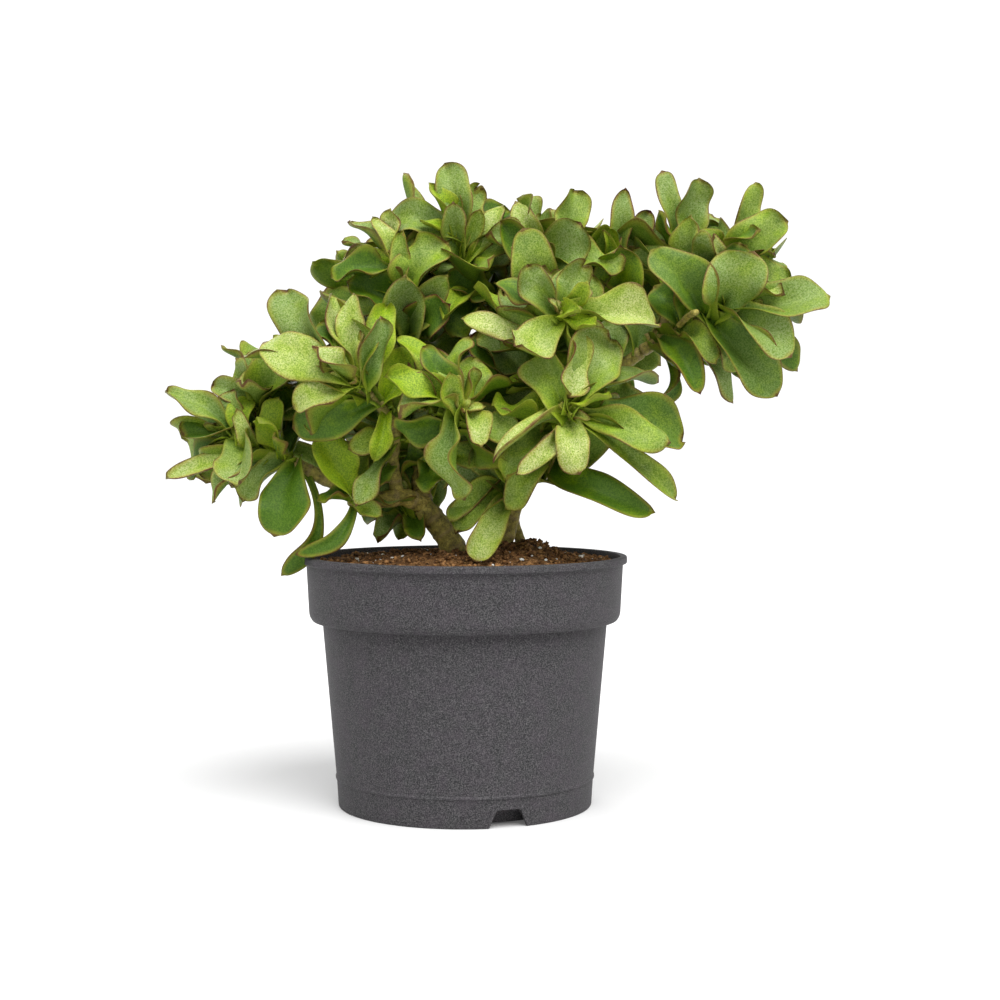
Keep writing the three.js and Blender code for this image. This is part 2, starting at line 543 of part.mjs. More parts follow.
function buildPlant() {
  const meshes = [];
  const grown = [];
  for (const [name, [startRadius, endRadius, stem]] of Object.entries(WOOD)) {
    const whole = stemSolid(stem, startRadius, endRadius, 2, 0);
    const solid = grown.length ? largestBody(whole.subtract(unionOf(grown))) : whole;
    grown.push(stemSolid(stem, startRadius, endRadius, 2, GAP));
    meshes.push(toMesh(name, solid, FINISHES.wood));
  }
  const wood = unionOf(grown);
  const soil = revolve(soilProfile(0)).subtract(wood);
  meshes.push(toMesh('pot', potSolid(), FINISHES.pot));
  meshes.push(toMesh('soil', largestBody(soil), FINISHES.soil));

  const shoots = layOutShoots();
  let fixed = wood.add(revolve(soilProfile(GAP))).add(collarKeepOut());
  for (const shoot of shoots) {
    const { stem, startRadius, endRadius } = shoot;
    shoot.core = largestBody(stemSolid(stem, startRadius, endRadius, 2, 0).subtract(fixed));
    shoot.grownCore = stemSolid(stem, startRadius, endRadius, 2, GAP);
    for (const other of shoots) {
      if (other === shoot) break;
      shoot.core = largestBody(shoot.core.subtract(other.grownCore));
    }
  }
  const cores = unionOf(shoots.map((shoot) => shoot.grownCore));
  for (const leaf of shoots.flatMap((shoot) => shoot.leaves)) {
    if (!leaf.name) continue;
    const solid = largestBody(leafSolid(leaf, 0).subtract(fixed).subtract(cores));
    meshes.push(toMesh(`leaf_${leaf.name}`, solid, FINISHES.leaf));
    fixed = fixed.add(leafSolid(leaf, GAP));
  }
  for (const shoot of shoots) {
    const others = unionOf(shoots.filter((other) => other !== shoot).map((other) => other.grownCore));
    const joined = shoot.leaves.filter((leaf) => !leaf.name);
    let solid = shoot.core;
    for (const leaf of joined) {
      solid = solid.add(leafSolid(leaf, 0).subtract(fixed).subtract(others));
    }
    meshes.push(toMesh(`shoot_${shoot.name}`, largestBody(solid), FINISHES.shoot));
    for (const leaf of joined) {
      fixed = fixed.add(leafSolid(leaf, GAP));
    }
  }
  return meshes;
}

const plant = new THREE.Group();
plant.name = 'potted_jade_plant';
plant.add(...buildPlant());

export default plant;
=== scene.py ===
# %% [markdown]
# # A potted ripple jade
# The object is a young ripple-leaf jade: two fleshy trunks in a round nursery pot of peat, long bare
# branches, and at the end of each branch a rosette of thick, wavy leaves set in crossed pairs.
# The packed frame gives the pot, the soil and the box that everything has to stay in. The plant is grown
# here again in fine detail, leaf by leaf, along the same stems.

# %% Load the frame
import math
import random

import bpy
import numpy as np
from mathutils import Matrix, Vector, noise


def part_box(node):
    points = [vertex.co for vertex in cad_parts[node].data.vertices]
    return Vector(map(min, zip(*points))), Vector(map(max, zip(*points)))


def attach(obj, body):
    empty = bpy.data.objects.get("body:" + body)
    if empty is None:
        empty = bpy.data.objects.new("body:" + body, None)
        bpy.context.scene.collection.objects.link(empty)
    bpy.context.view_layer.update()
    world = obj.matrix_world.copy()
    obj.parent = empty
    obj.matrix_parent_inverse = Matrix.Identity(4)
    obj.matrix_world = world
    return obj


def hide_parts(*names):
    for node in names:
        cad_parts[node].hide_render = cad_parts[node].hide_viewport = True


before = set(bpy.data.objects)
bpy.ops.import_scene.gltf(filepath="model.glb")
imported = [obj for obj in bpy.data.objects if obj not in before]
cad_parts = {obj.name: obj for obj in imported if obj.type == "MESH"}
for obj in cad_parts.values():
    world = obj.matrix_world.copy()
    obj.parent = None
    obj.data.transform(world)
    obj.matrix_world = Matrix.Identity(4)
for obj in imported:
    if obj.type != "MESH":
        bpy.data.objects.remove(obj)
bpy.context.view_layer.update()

# %% [markdown]
# ## Measures
# Everything below is written in millimetres, as a grower would measure it, and turned into metres at the
# last step. The pot's own box gives the pot's axis, height and rim, so the plant follows the frame.

# %% Measures taken from the frame
MM = 0.001
pot_low, pot_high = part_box("pot")
soil_low, soil_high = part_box("soil")
POT_X = (pot_low.x + pot_high.x) / 2 / MM
POT_Y = (pot_low.y + pot_high.y) / 2 / MM
POT_HEIGHT = pot_high.z / MM
RIM_RADIUS = (pot_high.x - pot_low.x) / 2 / MM
SOIL_AT_STEMS = soil_high.z / MM
SOIL_AT_WALL = POT_HEIGHT - 6.0
print(f"pot axis {POT_X:.1f}, {POT_Y:.1f}; rim radius {RIM_RADIUS:.1f}; height {POT_HEIGHT:.1f} mm")

# %% [markdown]
# ## Where things are
# Stems and leaves are placed on a front elevation, as one eye in front of the pot sees it: x and z are read
# on the upright plane through the pot's axis, and depth is how far behind that plane the point is.
# That way a leaf keeps its place in the view when its depth is changed.

# %% From the front elevation to the pot's space
EYE = Vector((18.4, -957.0, 196.0))


def sighted(x, z, depth):
    """The point that is seen at x and z on the front elevation, and lies depth behind it."""
    reach = (depth - EYE.y) / -EYE.y
    return Vector((
        POT_X + EYE.x + (x - EYE.x) * reach,
        POT_Y + depth,
        EYE.z + (z - EYE.z) * reach,
    ))


def facing(turn, lift):
    """A direction: turn 0 is to the front and 90 to the right, and lift 90 is straight up."""
    turned = math.radians(turn)
    lifted = math.radians(lift)
    return Vector((
        math.sin(turned) * math.cos(lifted),
        -math.cos(turned) * math.cos(lifted),
        math.sin(lifted),
    ))


print("a leaf facing half up:", [round(v, 2) for v in facing(0, 45)])

# %% [markdown]
# ## The woody stems
# Two trunks leave the soil and fork into long bare branches. Two short stubs are what is left of a pruned
# shoot and of a dried flower stalk. Each stem has a start and an end radius, and then the points
# [x, z, depth] that it passes through.

# %% Woody stems
WOOD = {
    "trunk_left": [6.4, 5.4, [[-1, 112, -4], [-4, 130, -4], [-12, 144, -6], [-22, 156, -8]]],
    "trunk_right": [4.4, 3.6, [[19, 112, 2], [19, 129, 2], [22, 142, 3], [26, 157, 4], [31, 173, 5],
        [36, 190, 8]]],
    "branch_low_left": [4.4, 3.4, [[-22, 157, -8], [-32, 161, -14], [-47, 160, -18], [-60, 165, -18],
        [-75, 172, -18], [-85, 176, -18]]],
    "branch_crown_left": [4.2, 2.8, [[-21, 157, -7], [-24, 172, 2], [-22, 196, 10], [-26, 222, 10],
        [-29, 244, 4]]],
    "branch_crown": [3.6, 2.8, [[36, 190, 9], [32, 212, 14], [22, 236, 16], [10, 260, 14]]],
    "branch_far_right": [3.6, 3.0, [[36, 190, 7], [54, 206, 10], [74, 223, 8], [92, 237, 2]]],
    "stub_pruned": [2.6, 2.2, [[31, 118, 14], [30, 134, 13], [25, 152, 11]]],
    "stub_dried": [1.4, 1.5, [[112, 251, -22], [117, 256, -34], [121, 258, -44]]],
}
print("woody stems to grow:", len(WOOD))

# %% [markdown]
# ## Kinds of leaf
# Leaves differ with age and light, from the waxiest to the freshest. wax is how much bloom covers a leaf,
# tone runs from lime to deep green, and flush is how maroon its rim is. The deep green kind is partly the
# real darker green of older leaves and partly painted shade on leaves that sit in the plant's shadow, and a
# tone above 1 pushes a leaf further toward its deepest green as painted shade.

# %% Kinds of leaf
WHITE = {"wax": 1.3, "tone": 0.0, "flush": 0.9}
PALE = {"wax": 1.0, "tone": 0.2, "flush": 0.9}
GREY = {"wax": 0.8, "tone": 0.8, "flush": 0.8}
GREEN = {"wax": 0.4, "tone": 0.45, "flush": 0.75}
LIME = {"wax": 0.1, "tone": 0.0, "flush": 0.25}
# painted shade: partly the real darker green of older leaves, partly darkening for leaves that sit in the
# plant's shadow
DEEP_AND_SHADED = {"wax": 0.05, "tone": 1.0, "flush": 0.7}

AGEING = (GREY, GREY, GREEN, GREEN, LIME, DEEP_AND_SHADED)
print("kinds of leaf:", len((WHITE, PALE, GREY, GREEN, LIME, DEEP_AND_SHADED)))

# %% [markdown]
# ## The shoots that show in front
# Each shoot has a start and an end radius, its stem's points, and then one row for each leaf: its own
# node's name or "", base [x, z], tip [x, z, depth], width, face [turn, lift], arch, twist and kind.
# The leaf's upper side looks along face. Where one leaf is unlike its kind, its row says how.

# %% Shoots in front
SHOOTS = {
    "left": [3.0, 2.0, [[-84, 176, -18], [-98, 182, -20], [-113, 188, -20], [-124, 195, -18]], [
        ["", [-121, 193], [-156, 215, -22], 14, [-20, 40], 0.12, 25, GREY],
        ["", [-113, 188], [-119, 167, -42], 23, [-25, 20], 0.06, 0, {**PALE, "foot": 0.6, "tone": 0.6}],
        ["", [-110, 187], [-120, 205, -36], 10, [-20, 10], 0.05, 0, PALE],
        ["", [-118, 190], [-148, 175, -6], 12, [0, 60], 0.1, 0, DEEP_AND_SHADED],
        ["", [-112, 186], [-156, 171, -26], 11, [-10, 12], 0.02, 10,
            {**PALE, "wave": 0.08, "fold": 0.2, "curl": 0}],
        ["", [-100, 182], [-130, 158, -36], 14, [-30, 40], 0.2, 0, GREY],
        ["", [-90, 178], [-117, 160, -28], 14, [-20, 25], 0.12, 0, GREY],
        ["left_hanging", [-88, 177], [-101, 142, -40], 25, [-10, 15], 0.08, 0, {**DEEP_AND_SHADED, "tone": 1.4}],
        ["", [-92, 179], [-108, 204, -44], 15, [-50, 0], -0.08, 15, LIME],
        ["", [-96, 181], [-100, 193, -46], 9, [30, 20], 0, 0, GREEN],
        ["", [-90, 178], [-96, 152, -10], 15, [0, 10], 0.08, 0, DEEP_AND_SHADED],
        ["rim_left_long", [-85, 176], [-96, 120, -22], 12, [10, 10], 0.1, -10,
            {**DEEP_AND_SHADED, "tone": 1.2, "bend": -0.46, "foot": 0.3, "neck": 2.6,
             "broadest": 0.9, "wave": 0.06, "fold": 0.1}],
    ]],
    "left_upper": [2.4, 1.8, [[-98, 183, -14], [-104, 196, -10], [-107, 210, -10], [-107, 218, -10]], [
        ["", [-107, 206], [-133, 221, -14], 12, [0, 30], 0.1, 0, GREY],
        ["", [-107, 212], [-120, 233, -12], 14, [-20, 20], 0, 0, GREY],
        ["", [-106, 208], [-116, 221, -32], 17, [0, 20], 0, 0, PALE],
        ["", [-107, 217], [-122, 243, -6], 11, [90, 0], 0, 0, GREY],
        ["", [-107, 214], [-97, 236, -4], 13, [10, 0], 0, 0, GREY],
    ]],
    "left_front": [3.4, 2.2, [[-36, 164, -13], [-38, 180, -20], [-37, 196, -28], [-45, 210, -40],
        [-56, 219, -52]], [
        ["left_pale", [-58, 220], [-106, 246, -48], 22, [0, 25], 0.1, 0, PALE],
        ["", [-57, 220], [-92, 268, -30], 24, [-10, 10], 0.08, 0, GREY],
        ["", [-57, 220], [-114, 235, -30], 18, [0, 40], 0.1, 0, GREY],
        ["", [-57, 220], [-76, 241, -68], 13, [30, 30], -0.05, 0, PALE],
        ["", [-57, 220], [-73, 265, -40], 13, [60, 0], 0, 0, PALE],
        ["", [-56, 219], [-71, 273, -26], 11, [50, 0], 0.05, 0, DEEP_AND_SHADED],
        ["", [-56, 219], [-58, 267, -45], 13, [0, 5], 0.05, 0, PALE],
        ["", [-56, 219], [-44, 255, -58], 17, [10, 5], 0.05, 0, {**GREY, "tone": 1.2}],
        ["", [-54, 217], [-40, 265, -34], 15, [20, 20], 0.05, 0, LIME],
        ["left_spoon", [-56, 218], [-91, 210, -58], 16, [0, 30], 0.1, 0, PALE],
        ["left_wavy", [-46, 210], [-90, 197, -48], 21, [0, 0], 0.05, 0, DEEP_AND_SHADED],
        ["", [-42, 205], [-47, 180, -46], 10, [0, 10], 0.1, 0, LIME],
        ["", [-38, 186], [-57, 157, -40], 12, [0, 20], 0.1, 0, GREY],
        ["", [-37, 192], [-60, 186, -34], 12, [0, 30], 0.1, 0, GREEN],
        ["", [-38, 178], [-48, 165, -36], 9, [0, 20], 0.1, 0, DEEP_AND_SHADED],
    ]],
    "low_left": [2.2, 1.8, [[-58, 166, -16], [-58, 160, -22], [-60, 158, -27]], [
        ["", [-57, 160], [-88, 131, -32], 9, [0, 15], 0.1, 0,
            {**DEEP_AND_SHADED, "tone": 1.4, "bend": -0.46, "foot": 0.4, "broadest": 0.6, "wave": 0.08}],
        ["", [-59, 159], [-77, 161, -34], 10, [0, 40], 0.1, 0, DEEP_AND_SHADED],
        ["", [-58, 161], [-44, 152, -36], 10, [0, 20], 0.1, 0, GREEN],
    ]],
    "low_centre": [2.2, 1.8, [[-12, 148, -2], [-24, 150, 2], [-33, 149, 2]], [
        ["", [-33, 149], [-46, 139, -12], 12, [0, 30], 0.1, 0, GREY],
        ["", [-27, 149], [-23, 138, -18], 12, [0, 20], 0.1, 0, DEEP_AND_SHADED],
        ["", [-33, 149], [-55, 152, 8], 12, [0, 40], 0.1, 0, DEEP_AND_SHADED],
        ["", [-30, 149], [-34, 143, 30], 13, [180, 40], 0.1, 0, GREEN],
    ]],
    "crown_left": [2.8, 2.0, [[-29, 245, 3], [-31, 262, -3], [-35, 281, -4]], [
        ["", [-34, 274], [-70, 279, -12], 17, [0, 40], 0.1, 0, DEEP_AND_SHADED],
        ["", [-35, 280], [-64, 290, 10], 11, [0, 30], 0.1, 0, GREY],
        ["", [-35, 280], [-58, 308, 2], 12, [40, 0], 0.05, 20, GREY],
        ["", [-35, 280], [-46, 309, -8], 10, [30, 0], 0.05, 0, PALE],
        ["", [-35, 281], [-38, 311, -2], 10, [-30, 0], 0, 0, PALE],
        ["", [-34, 276], [-31, 313, 8], 12, [0, 0], 0.05, 0, GREY],
        ["", [-34, 276], [-27, 330, 16], 13, [85, 0], 0.03, 0, GREY],
        ["", [-33, 272], [-34, 298, -18], 10, [0, 10], 0, 0, GREEN],
        ["", [-32, 266], [-12, 296, -16], 24, [0, 25], 0.08, 0, GREEN],
        ["top_left_broad", [-29, 246], [-30, 278, -26], 20, [0, 10], 0.08, 0, GREY],
        ["", [-29, 248], [-9, 277, -20], 15, [10, 10], 0.05, 0, GREY],
        ["", [-27, 238], [-8, 262, -26], 19, [0, 20], 0.06, 0, {**DEEP_AND_SHADED, "flush": 1.2}],
        ["", [-30, 254], [-60, 262, 16], 15, [-60, 40], 0.1, 0, GREEN],
    ]],
    "crown": [3.0, 2.0, [[9, 262, 13], [2, 278, 8], [-4, 296, 4]], [
        ["crown_tall", [-4, 295], [-11, 336, 2], 18, [0, 5], 0.03, 0, GREY],
        ["", [-4, 294], [6, 322, 14], 15, [20, 0], 0.05, 0, GREEN],
        ["", [-4, 294], [-17, 325, -4], 10, [60, 0], 0, 0, LIME],
        ["", [-4, 294], [-20, 308, -10], 8, [20, 20], 0, 0, LIME],
        ["", [0, 284], [-6, 315, -12], 13, [-40, 0], 0, 0, GREY],
        ["", [-1, 286], [8, 311, -6], 10, [10, 0], 0, 0, GREEN],
        ["", [0, 284], [19, 314, 4], 12, [0, 10], 0.05, 0, PALE],
        ["", [6, 268], [9, 286, -28], 20, [0, 25], 0.05, 0, GREEN],
        ["", [8, 263], [-12, 258, -28], 10, [0, 50], 0.1, 0, LIME],
        ["", [2, 278], [-22, 290, 26], 15, [-120, 40], 0.1, 0, GREEN],
        ["", [9, 263], [-11, 273, -8], 18, [0, 20], 0.1, 0, DEEP_AND_SHADED],
        ["", [9, 262], [-6, 248, -8], 17, [0, 20], 0.1, 0, DEEP_AND_SHADED],
    ]],
    "crown_right": [2.8, 2.0, [[32, 214, 12], [38, 240, 8], [42, 262, 4], [45, 280, 4], [50, 293, 4]], [
        ["", [46, 284], [26, 316, 2], 13, [-10, 10], 0.05, 0, PALE],
        ["", [42, 266], [19, 305, -12], 16, [0, 5], 0.05, 0, DEEP_AND_SHADED],
        ["", [46, 284], [41, 309, 16], 14, [0, 0], 0.05, 0, GREY],
        ["crown_wide", [44, 270], [60, 304, -8], 24, [0, 10], 0.05, 0, GREY],
        ["", [50, 292], [44, 311, 6], 10, [40, 20], 0, 0, PALE],
        ["", [50, 292], [58, 321, 8], 17, [0, 0], 0.05, 0, GREEN],
        ["centre_tall", [41, 258], [31, 297, -34], 24, [0, 5], 0.08, 0, GREEN],
        ["", [36, 232], [22, 252, 26], 15, [200, 30], 0.1, 0, GREEN],
        ["", [42, 262], [66, 276, 22], 16, [150, 30], 0.1, 0, GREEN],
    ]],
    "centre_front": [3.2, 2.2, [[36, 196, 2], [38, 212, -6], [42, 232, -24], [48, 248, -42],
        [51, 255, -54]], [
        ["", [48, 250], [16, 273, -48], 15, [0, 40], 0.1, 0, DEEP_AND_SHADED],
        ["centre_pink_tip", [42, 233], [3, 260, -50], 14, [0, 30], 0.08, 0, WHITE],
        ["", [42, 232], [4, 268, -24], 13, [0, 40], 0.08, 0, LIME],
        ["centre_round", [51, 254], [25, 239, -74], 22, [0, 20], -0.05, 0, PALE],
        ["", [51, 253], [55, 214, -68], 15, [60, 20], 0.08, 0, PALE],
        ["right_pink_rim", [51, 255], [101, 253, -40], 22, [0, 25], 0.08, 0, WHITE],
        ["", [51, 255], [64, 274, -64], 9, [0, 20], 0, 0, LIME],
        ["", [51, 255], [57, 261, -76], 8, [0, 30], 0, 0, LIME],
        ["", [51, 255], [69, 250, -70], 9, [0, 40], 0, 0, LIME],
        ["", [39, 216], [24, 221, -40], 14, [0, 30], 0.1, 0, LIME],
        ["", [37, 206], [5, 212, -40], 27, [0, 20], 0.08, 0, DEEP_AND_SHADED],
        ["", [50, 252], [55, 281, -44], 15, [0, -10], -0.05, 0, GREY],
        ["", [37, 208], [4, 247, -14], 24, [0, 15], 0.08, 0, {**DEEP_AND_SHADED, "flush": 1.2}],
    ]],
    "front": [3.0, 2.0, [[-20, 170, -6], [-16, 182, -24], [-8, 197, -48], [-2, 205, -60]], [
        ["", [-6, 200], [-34, 247, -46], 13, [0, 30], 0.1, 0, LIME],
        ["", [-4, 203], [-22, 238, -56], 14, [0, 50], 0.08, 0, DEEP_AND_SHADED],
        ["", [-8, 197], [-18, 238, -34], 20, [0, 25], 0.06, 0, {**DEEP_AND_SHADED, "flush": 1.2}],
        ["", [-4, 203], [-2, 247, -48], 16, [0, -20], 0.05, 0, GREEN],
        ["front_wavy", [-3, 205], [-41, 225, -70], 16, [0, 35], 0.08, 0, LIME],
        ["", [-3, 205], [-35, 209, -78], 16, [0, 40], 0.1, 0, GREY],
        ["", [-2, 205], [-8, 226, -76], 12, [-20, 20], 0, 0, GREEN],
        ["", [-6, 200], [-38, 197, -56], 15, [0, -30], 0.08, 0, DEEP_AND_SHADED],
        ["front_twisted", [-2, 204], [-6, 160, -72], 18, [-20, 10], 0.08, 50, GREY],
        ["", [-2, 204], [9, 190, -74], 11, [20, 30], 0.05, 0, PALE],
        ["", [-2, 205], [3, 229, -58], 10, [60, 0], 0, 0, GREEN],
        ["", [-17, 178], [-18, 163, -36], 13, [0, 20], 0.1, 0, DEEP_AND_SHADED],
        ["", [-17, 178], [-38, 176, -6], 14, [-60, 40], 0.1, 0, DEEP_AND_SHADED],
    ]],
    "low_front": [2.6, 2.0, [[28, 163, 0], [27, 162, -14], [25, 161, -26]], [
        ["rim_front", [25, 161], [6, 127, -50], 15, [0, 25], 0.1, 0,
            {**PALE, "foot": 0.6, "broadest": 0.9, "wave": 0.08, "bluntness": 14}],
        ["", [26, 162], [-6, 147, -40], 20, [0, 30], 0.08, 0, {**GREEN, "wave": 0.1}],
    ]],
    "right_front": [3.0, 2.2, [[34, 182, 2], [44, 188, -16], [52, 198, -42], [55, 204, -58]], [
        ["", [50, 195], [21, 172, -60], 16, [0, 40], 0.08, 0, GREEN],
        ["", [46, 190], [22, 159, -52], 15, [0, 20], 0.08, 0, GREEN],
        ["", [36, 184], [-4, 146, -34], 16, [0, 25], 0.08, 0, {**GREEN, "tone": 0.8, "wave": 0.1}],
        ["", [54, 203], [31, 174, -80], 10, [20, 20], 0.05, 0, WHITE],
        ["", [55, 204], [19, 178, -76], 10, [0, 60], 0.2, 20, WHITE],
        ["", [55, 204], [76, 214, -74], 10, [0, 60], 0.1, 0, LIME],
        ["", [54, 202], [60, 176, -74], 16, [0, 10], 0.08, 0, WHITE],
        ["low_right_upper", [55, 203], [106, 189, -62], 19, [0, 30], 0.08, 0, GREEN],
        ["", [54, 202], [115, 192, -44], 28, [0, 15], 0.08, 0,
            {**GREEN, "tone": 0.9, "wax": 0.2, "flush": 0.9}],
        ["", [55, 204], [108, 161, -42], 12, [0, 30], 0.1, 0, GREEN],
        ["low_right_long", [44, 184], [98, 160, -60], 20, [0, 20], 0.08, 0,
            {**DEEP_AND_SHADED, "bend": 0.3, "wave": 0.1}],
        ["right_broad", [55, 204], [78, 247, -50], 26, [0, 15], 0.08, 0, {**PALE, "wax": 0.8, "tone": 0.6}],
        ["", [55, 204], [101, 230, -42], 20, [0, 30], 0.08, 0, GREY],
    ]],
    "far_right": [3.0, 2.2, [[93, 238, 1], [110, 248, -10], [128, 256, -20], [144, 259, -24]], [
        ["far_right_tip", [144, 259], [190, 266, -28], 23, [0, 25], 0.08, 0,
            {**GREY, "foot": 0.4, "broadest": 0.55, "wave": 0.07, "curl": 0}],
        ["", [143, 259], [166, 269, -38], 11, [0, 60], 0.08, 0, PALE],
        ["far_right_fold", [133, 257], [171, 236, -44], 24, [0, 30], 0.08, 0,
            {**GREY, "wave": 0.08, "curl": 0.05}],
        ["far_right_low", [126, 255], [164, 215, -36], 24, [0, 20], 0.1, 0, {**GREEN, "tone": 1.0}],
        ["", [138, 258], [173, 228, -12], 14, [0, 10], 0.08, 0, DEEP_AND_SHADED],
        ["far_right_round", [131, 257], [150, 288, -48], 28, [0, 10], 0.05, 0, GREY],
        ["", [124, 254], [100, 291, -40], 22, [0, 15], 0.08, 0,
            {**DEEP_AND_SHADED, "wax": 0.3, "wave": 0.07, "bend": 0}],
        ["", [112, 249], [99, 272, -14], 18, [0, 20], 0.08, 0, DEEP_AND_SHADED],
        ["", [104, 245], [130, 235, -40], 13, [0, 40], 0.1, 0, GREEN],
        ["", [99, 242], [123, 216, -34], 14, [0, 50], 0.2, 30, {**DEEP_AND_SHADED, "flush": 1.2}],
        ["", [106, 246], [144, 212, -8], 13, [0, 20], 0.1, 0, GREY],
        ["", [99, 241], [103, 206, -24], 11, [60, 10], 0.2, 0, DEEP_AND_SHADED],
        ["", [96, 240], [112, 229, -28], 9, [0, 40], 0.05, 0, GREY],
    ]],
    "far_right_upper": [2.4, 1.8, [[112, 251, -4], [125, 266, -4], [134, 277, -6], [138, 286, -8]], [
        ["far_right_top", [137, 282], [168, 305, -18], 22, [0, 15], 0.05, 0, GREEN],
        ["", [135, 279], [150, 304, -26], 14, [-20, 30], 0.05, 0, DEEP_AND_SHADED],
        ["", [138, 285], [151, 324, -4], 12, [30, 10], 0.03, 0, GREEN],
        ["", [130, 272], [116, 307, -22], 14, [-30, 20], 0.1, 0, GREEN],
        ["", [125, 266], [125, 302, -34], 13, [0, 5], 0.05, 0, GREY],
        ["", [133, 276], [134, 295, -36], 8, [0, 10], 0, 0, PALE],
    ]],
    "far_right_back": [2.4, 1.8, [[104, 249, 2], [107, 270, 12], [113, 292, 12]], [
        ["", [113, 291], [121, 327, 6], 18, [0, 0], 0.03, 0, GREY],
        ["", [112, 289], [103, 331, 12], 11, [0, 0], 0.03, 0,
            {**GREY, "foot": 0.7, "wave": 0.05, "bluntness": 16}],
        ["", [112, 288], [101, 310, -2], 10, [-50, 10], 0, 0, DEEP_AND_SHADED],
        ["", [112, 288], [134, 306, 34], 16, [140, 30], 0.1, 0, GREEN],
    ]],
    "right_back": [2.6, 2.0, [[66, 219, 12], [76, 240, 22], [80, 262, 26], [80, 284, 24]], [
        ["", [80, 283], [84, 322, 18], 14, [0, 5], 0.03, 0,
            {**GREY, "flush": 1.4, "bluntness": 3, "wave": 0.08}],
        ["", [80, 281], [97, 311, 22], 13, [-30, 0], 0.03, 0, {**GREY, "flush": 1.5}],
        ["back_right_broad", [80, 263], [81, 292, -8], 26, [0, 10], 0.05, 0, {**DEEP_AND_SHADED, "tone": 0.6}],
        ["", [80, 283], [74, 302, 8], 9, [20, 20], 0, 0, LIME],
        ["", [80, 262], [61, 285, 10], 16, [-10, 20], 0.08, 0, DEEP_AND_SHADED],
        ["", [80, 268], [105, 288, 18], 16, [10, 20], 0.08, 0, GREEN],
        ["", [80, 270], [70, 290, 54], 17, [190, 30], 0.1, 0, GREEN],
    ]],
}

print("leaves placed one by one:", sum(len(shoot[3]) for shoot in SHOOTS.values()))

# %% [markdown]
# ## The shoots at the back
# These are grown by rule, so each needs only its stem's points, how many leaf pairs sit on its tip and how
# long they are.

# %% Shoots at the back
BACK_SHOOTS = {
    "back_left": [[[-36, 164, -3], [-52, 190, 26], [-68, 212, 56]], 3, 42],
    "back_far_left": [[[-84, 177, -11], [-97, 184, 10], [-105, 190, 30]], 3, 38],
    "back_low": [[[-20, 168, 2], [-14, 178, 34], [-10, 188, 66]], 3, 42],
    "back_middle": [[[-25, 214, 16], [-24, 228, 44], [-22, 240, 70]], 3, 42],
    "back_crown_left": [[[-31, 250, 10], [-44, 262, 32], [-52, 272, 50]], 3, 36],
    "back_crown": [[[13, 258, 20], [18, 272, 40], [20, 284, 56]], 3, 40],
    "back_right_low": [[[37, 184, 13], [42, 196, 42], [44, 208, 68]], 3, 42],
    "back_right": [[[52, 212, 16], [62, 228, 44], [66, 242, 64]], 3, 42],
    "back_far_right": [[[95, 244, 6], [108, 252, 28], [118, 260, 46]], 3, 40],
}
print("shoots at the back:", len(BACK_SHOOTS))


# %% [markdown]
# ## Curves and rings
# Stems are grown as rings of points carried along a smooth curve. The frame that carries them is turned as
# little as possible from step to step, so that the bark doesn't twist.

# %% Smooth curves and the frames that follow them
STEPS_PER_SPAN = 14


def smooth_curve(points):
    """Points on a Catmull-Rom curve through the given places."""
    padded = [points[0] * 2 - points[1], *points, points[-1] * 2 - points[-2]]
    found = []
    for a, b, c, d in zip(padded, padded[1:], padded[2:], padded[3:]):
        for step in range(STEPS_PER_SPAN):
            t = step / STEPS_PER_SPAN
            found.append(0.5 * (
                2 * b + (c - a) * t + (2 * a - 5 * b + 4 * c - d) * t**2 + (3 * b - a - 3 * c + d) * t**3
            ))
    return [*found, points[-1].copy()]


def carried_frames(places):
    """A tangent and a steady sideways direction at each place."""
    tangents = []
    for index in range(len(places)):
        before = places[max(index - 1, 0)]
        after = places[min(index + 1, len(places) - 1)]
        tangents.append((after - before).normalized())
    side = tangents[0].orthogonal().normalized()
    sides = []
    for tangent in tangents:
        side = (side - tangent * side.dot(tangent)).normalized()
        sides.append(side.copy())
    return tangents, sides


print("places along the left trunk:", len(smooth_curve([sighted(*p) for p in WOOD["trunk_left"][2]])))


# %% New pieces and the numbers their points carry
def new_piece(name, verts, faces, material, smooth=True):
    """A mesh object in metres from points in millimetres, riding on the plant's one body."""
    mesh = bpy.data.meshes.new(name)
    mesh.from_pydata((np.asarray(verts, float) * MM).tolist(), [], faces)
    mesh.polygons.foreach_set("use_smooth", [smooth] * len(mesh.polygons))
    mesh.materials.append(material)
    mesh.update()
    piece = bpy.data.objects.new(name, mesh)
    bpy.context.scene.collection.objects.link(piece)
    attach(piece, "root")
    return piece


def give(piece, name, values):
    """Keeps one number for each point of a piece, for its material to read."""
    layer = piece.data.attributes.new(name, "FLOAT", "POINT")
    layer.data.foreach_set("value", np.asarray(values, np.float32))


print("one millimetre is", MM, "in the scene's metres")


# %% [markdown]
# ## Materials
# Each finish is built from noise at the scale the real surface has it, in object space, so nothing depends
# on unwrapping. Small helpers keep the node trees short.

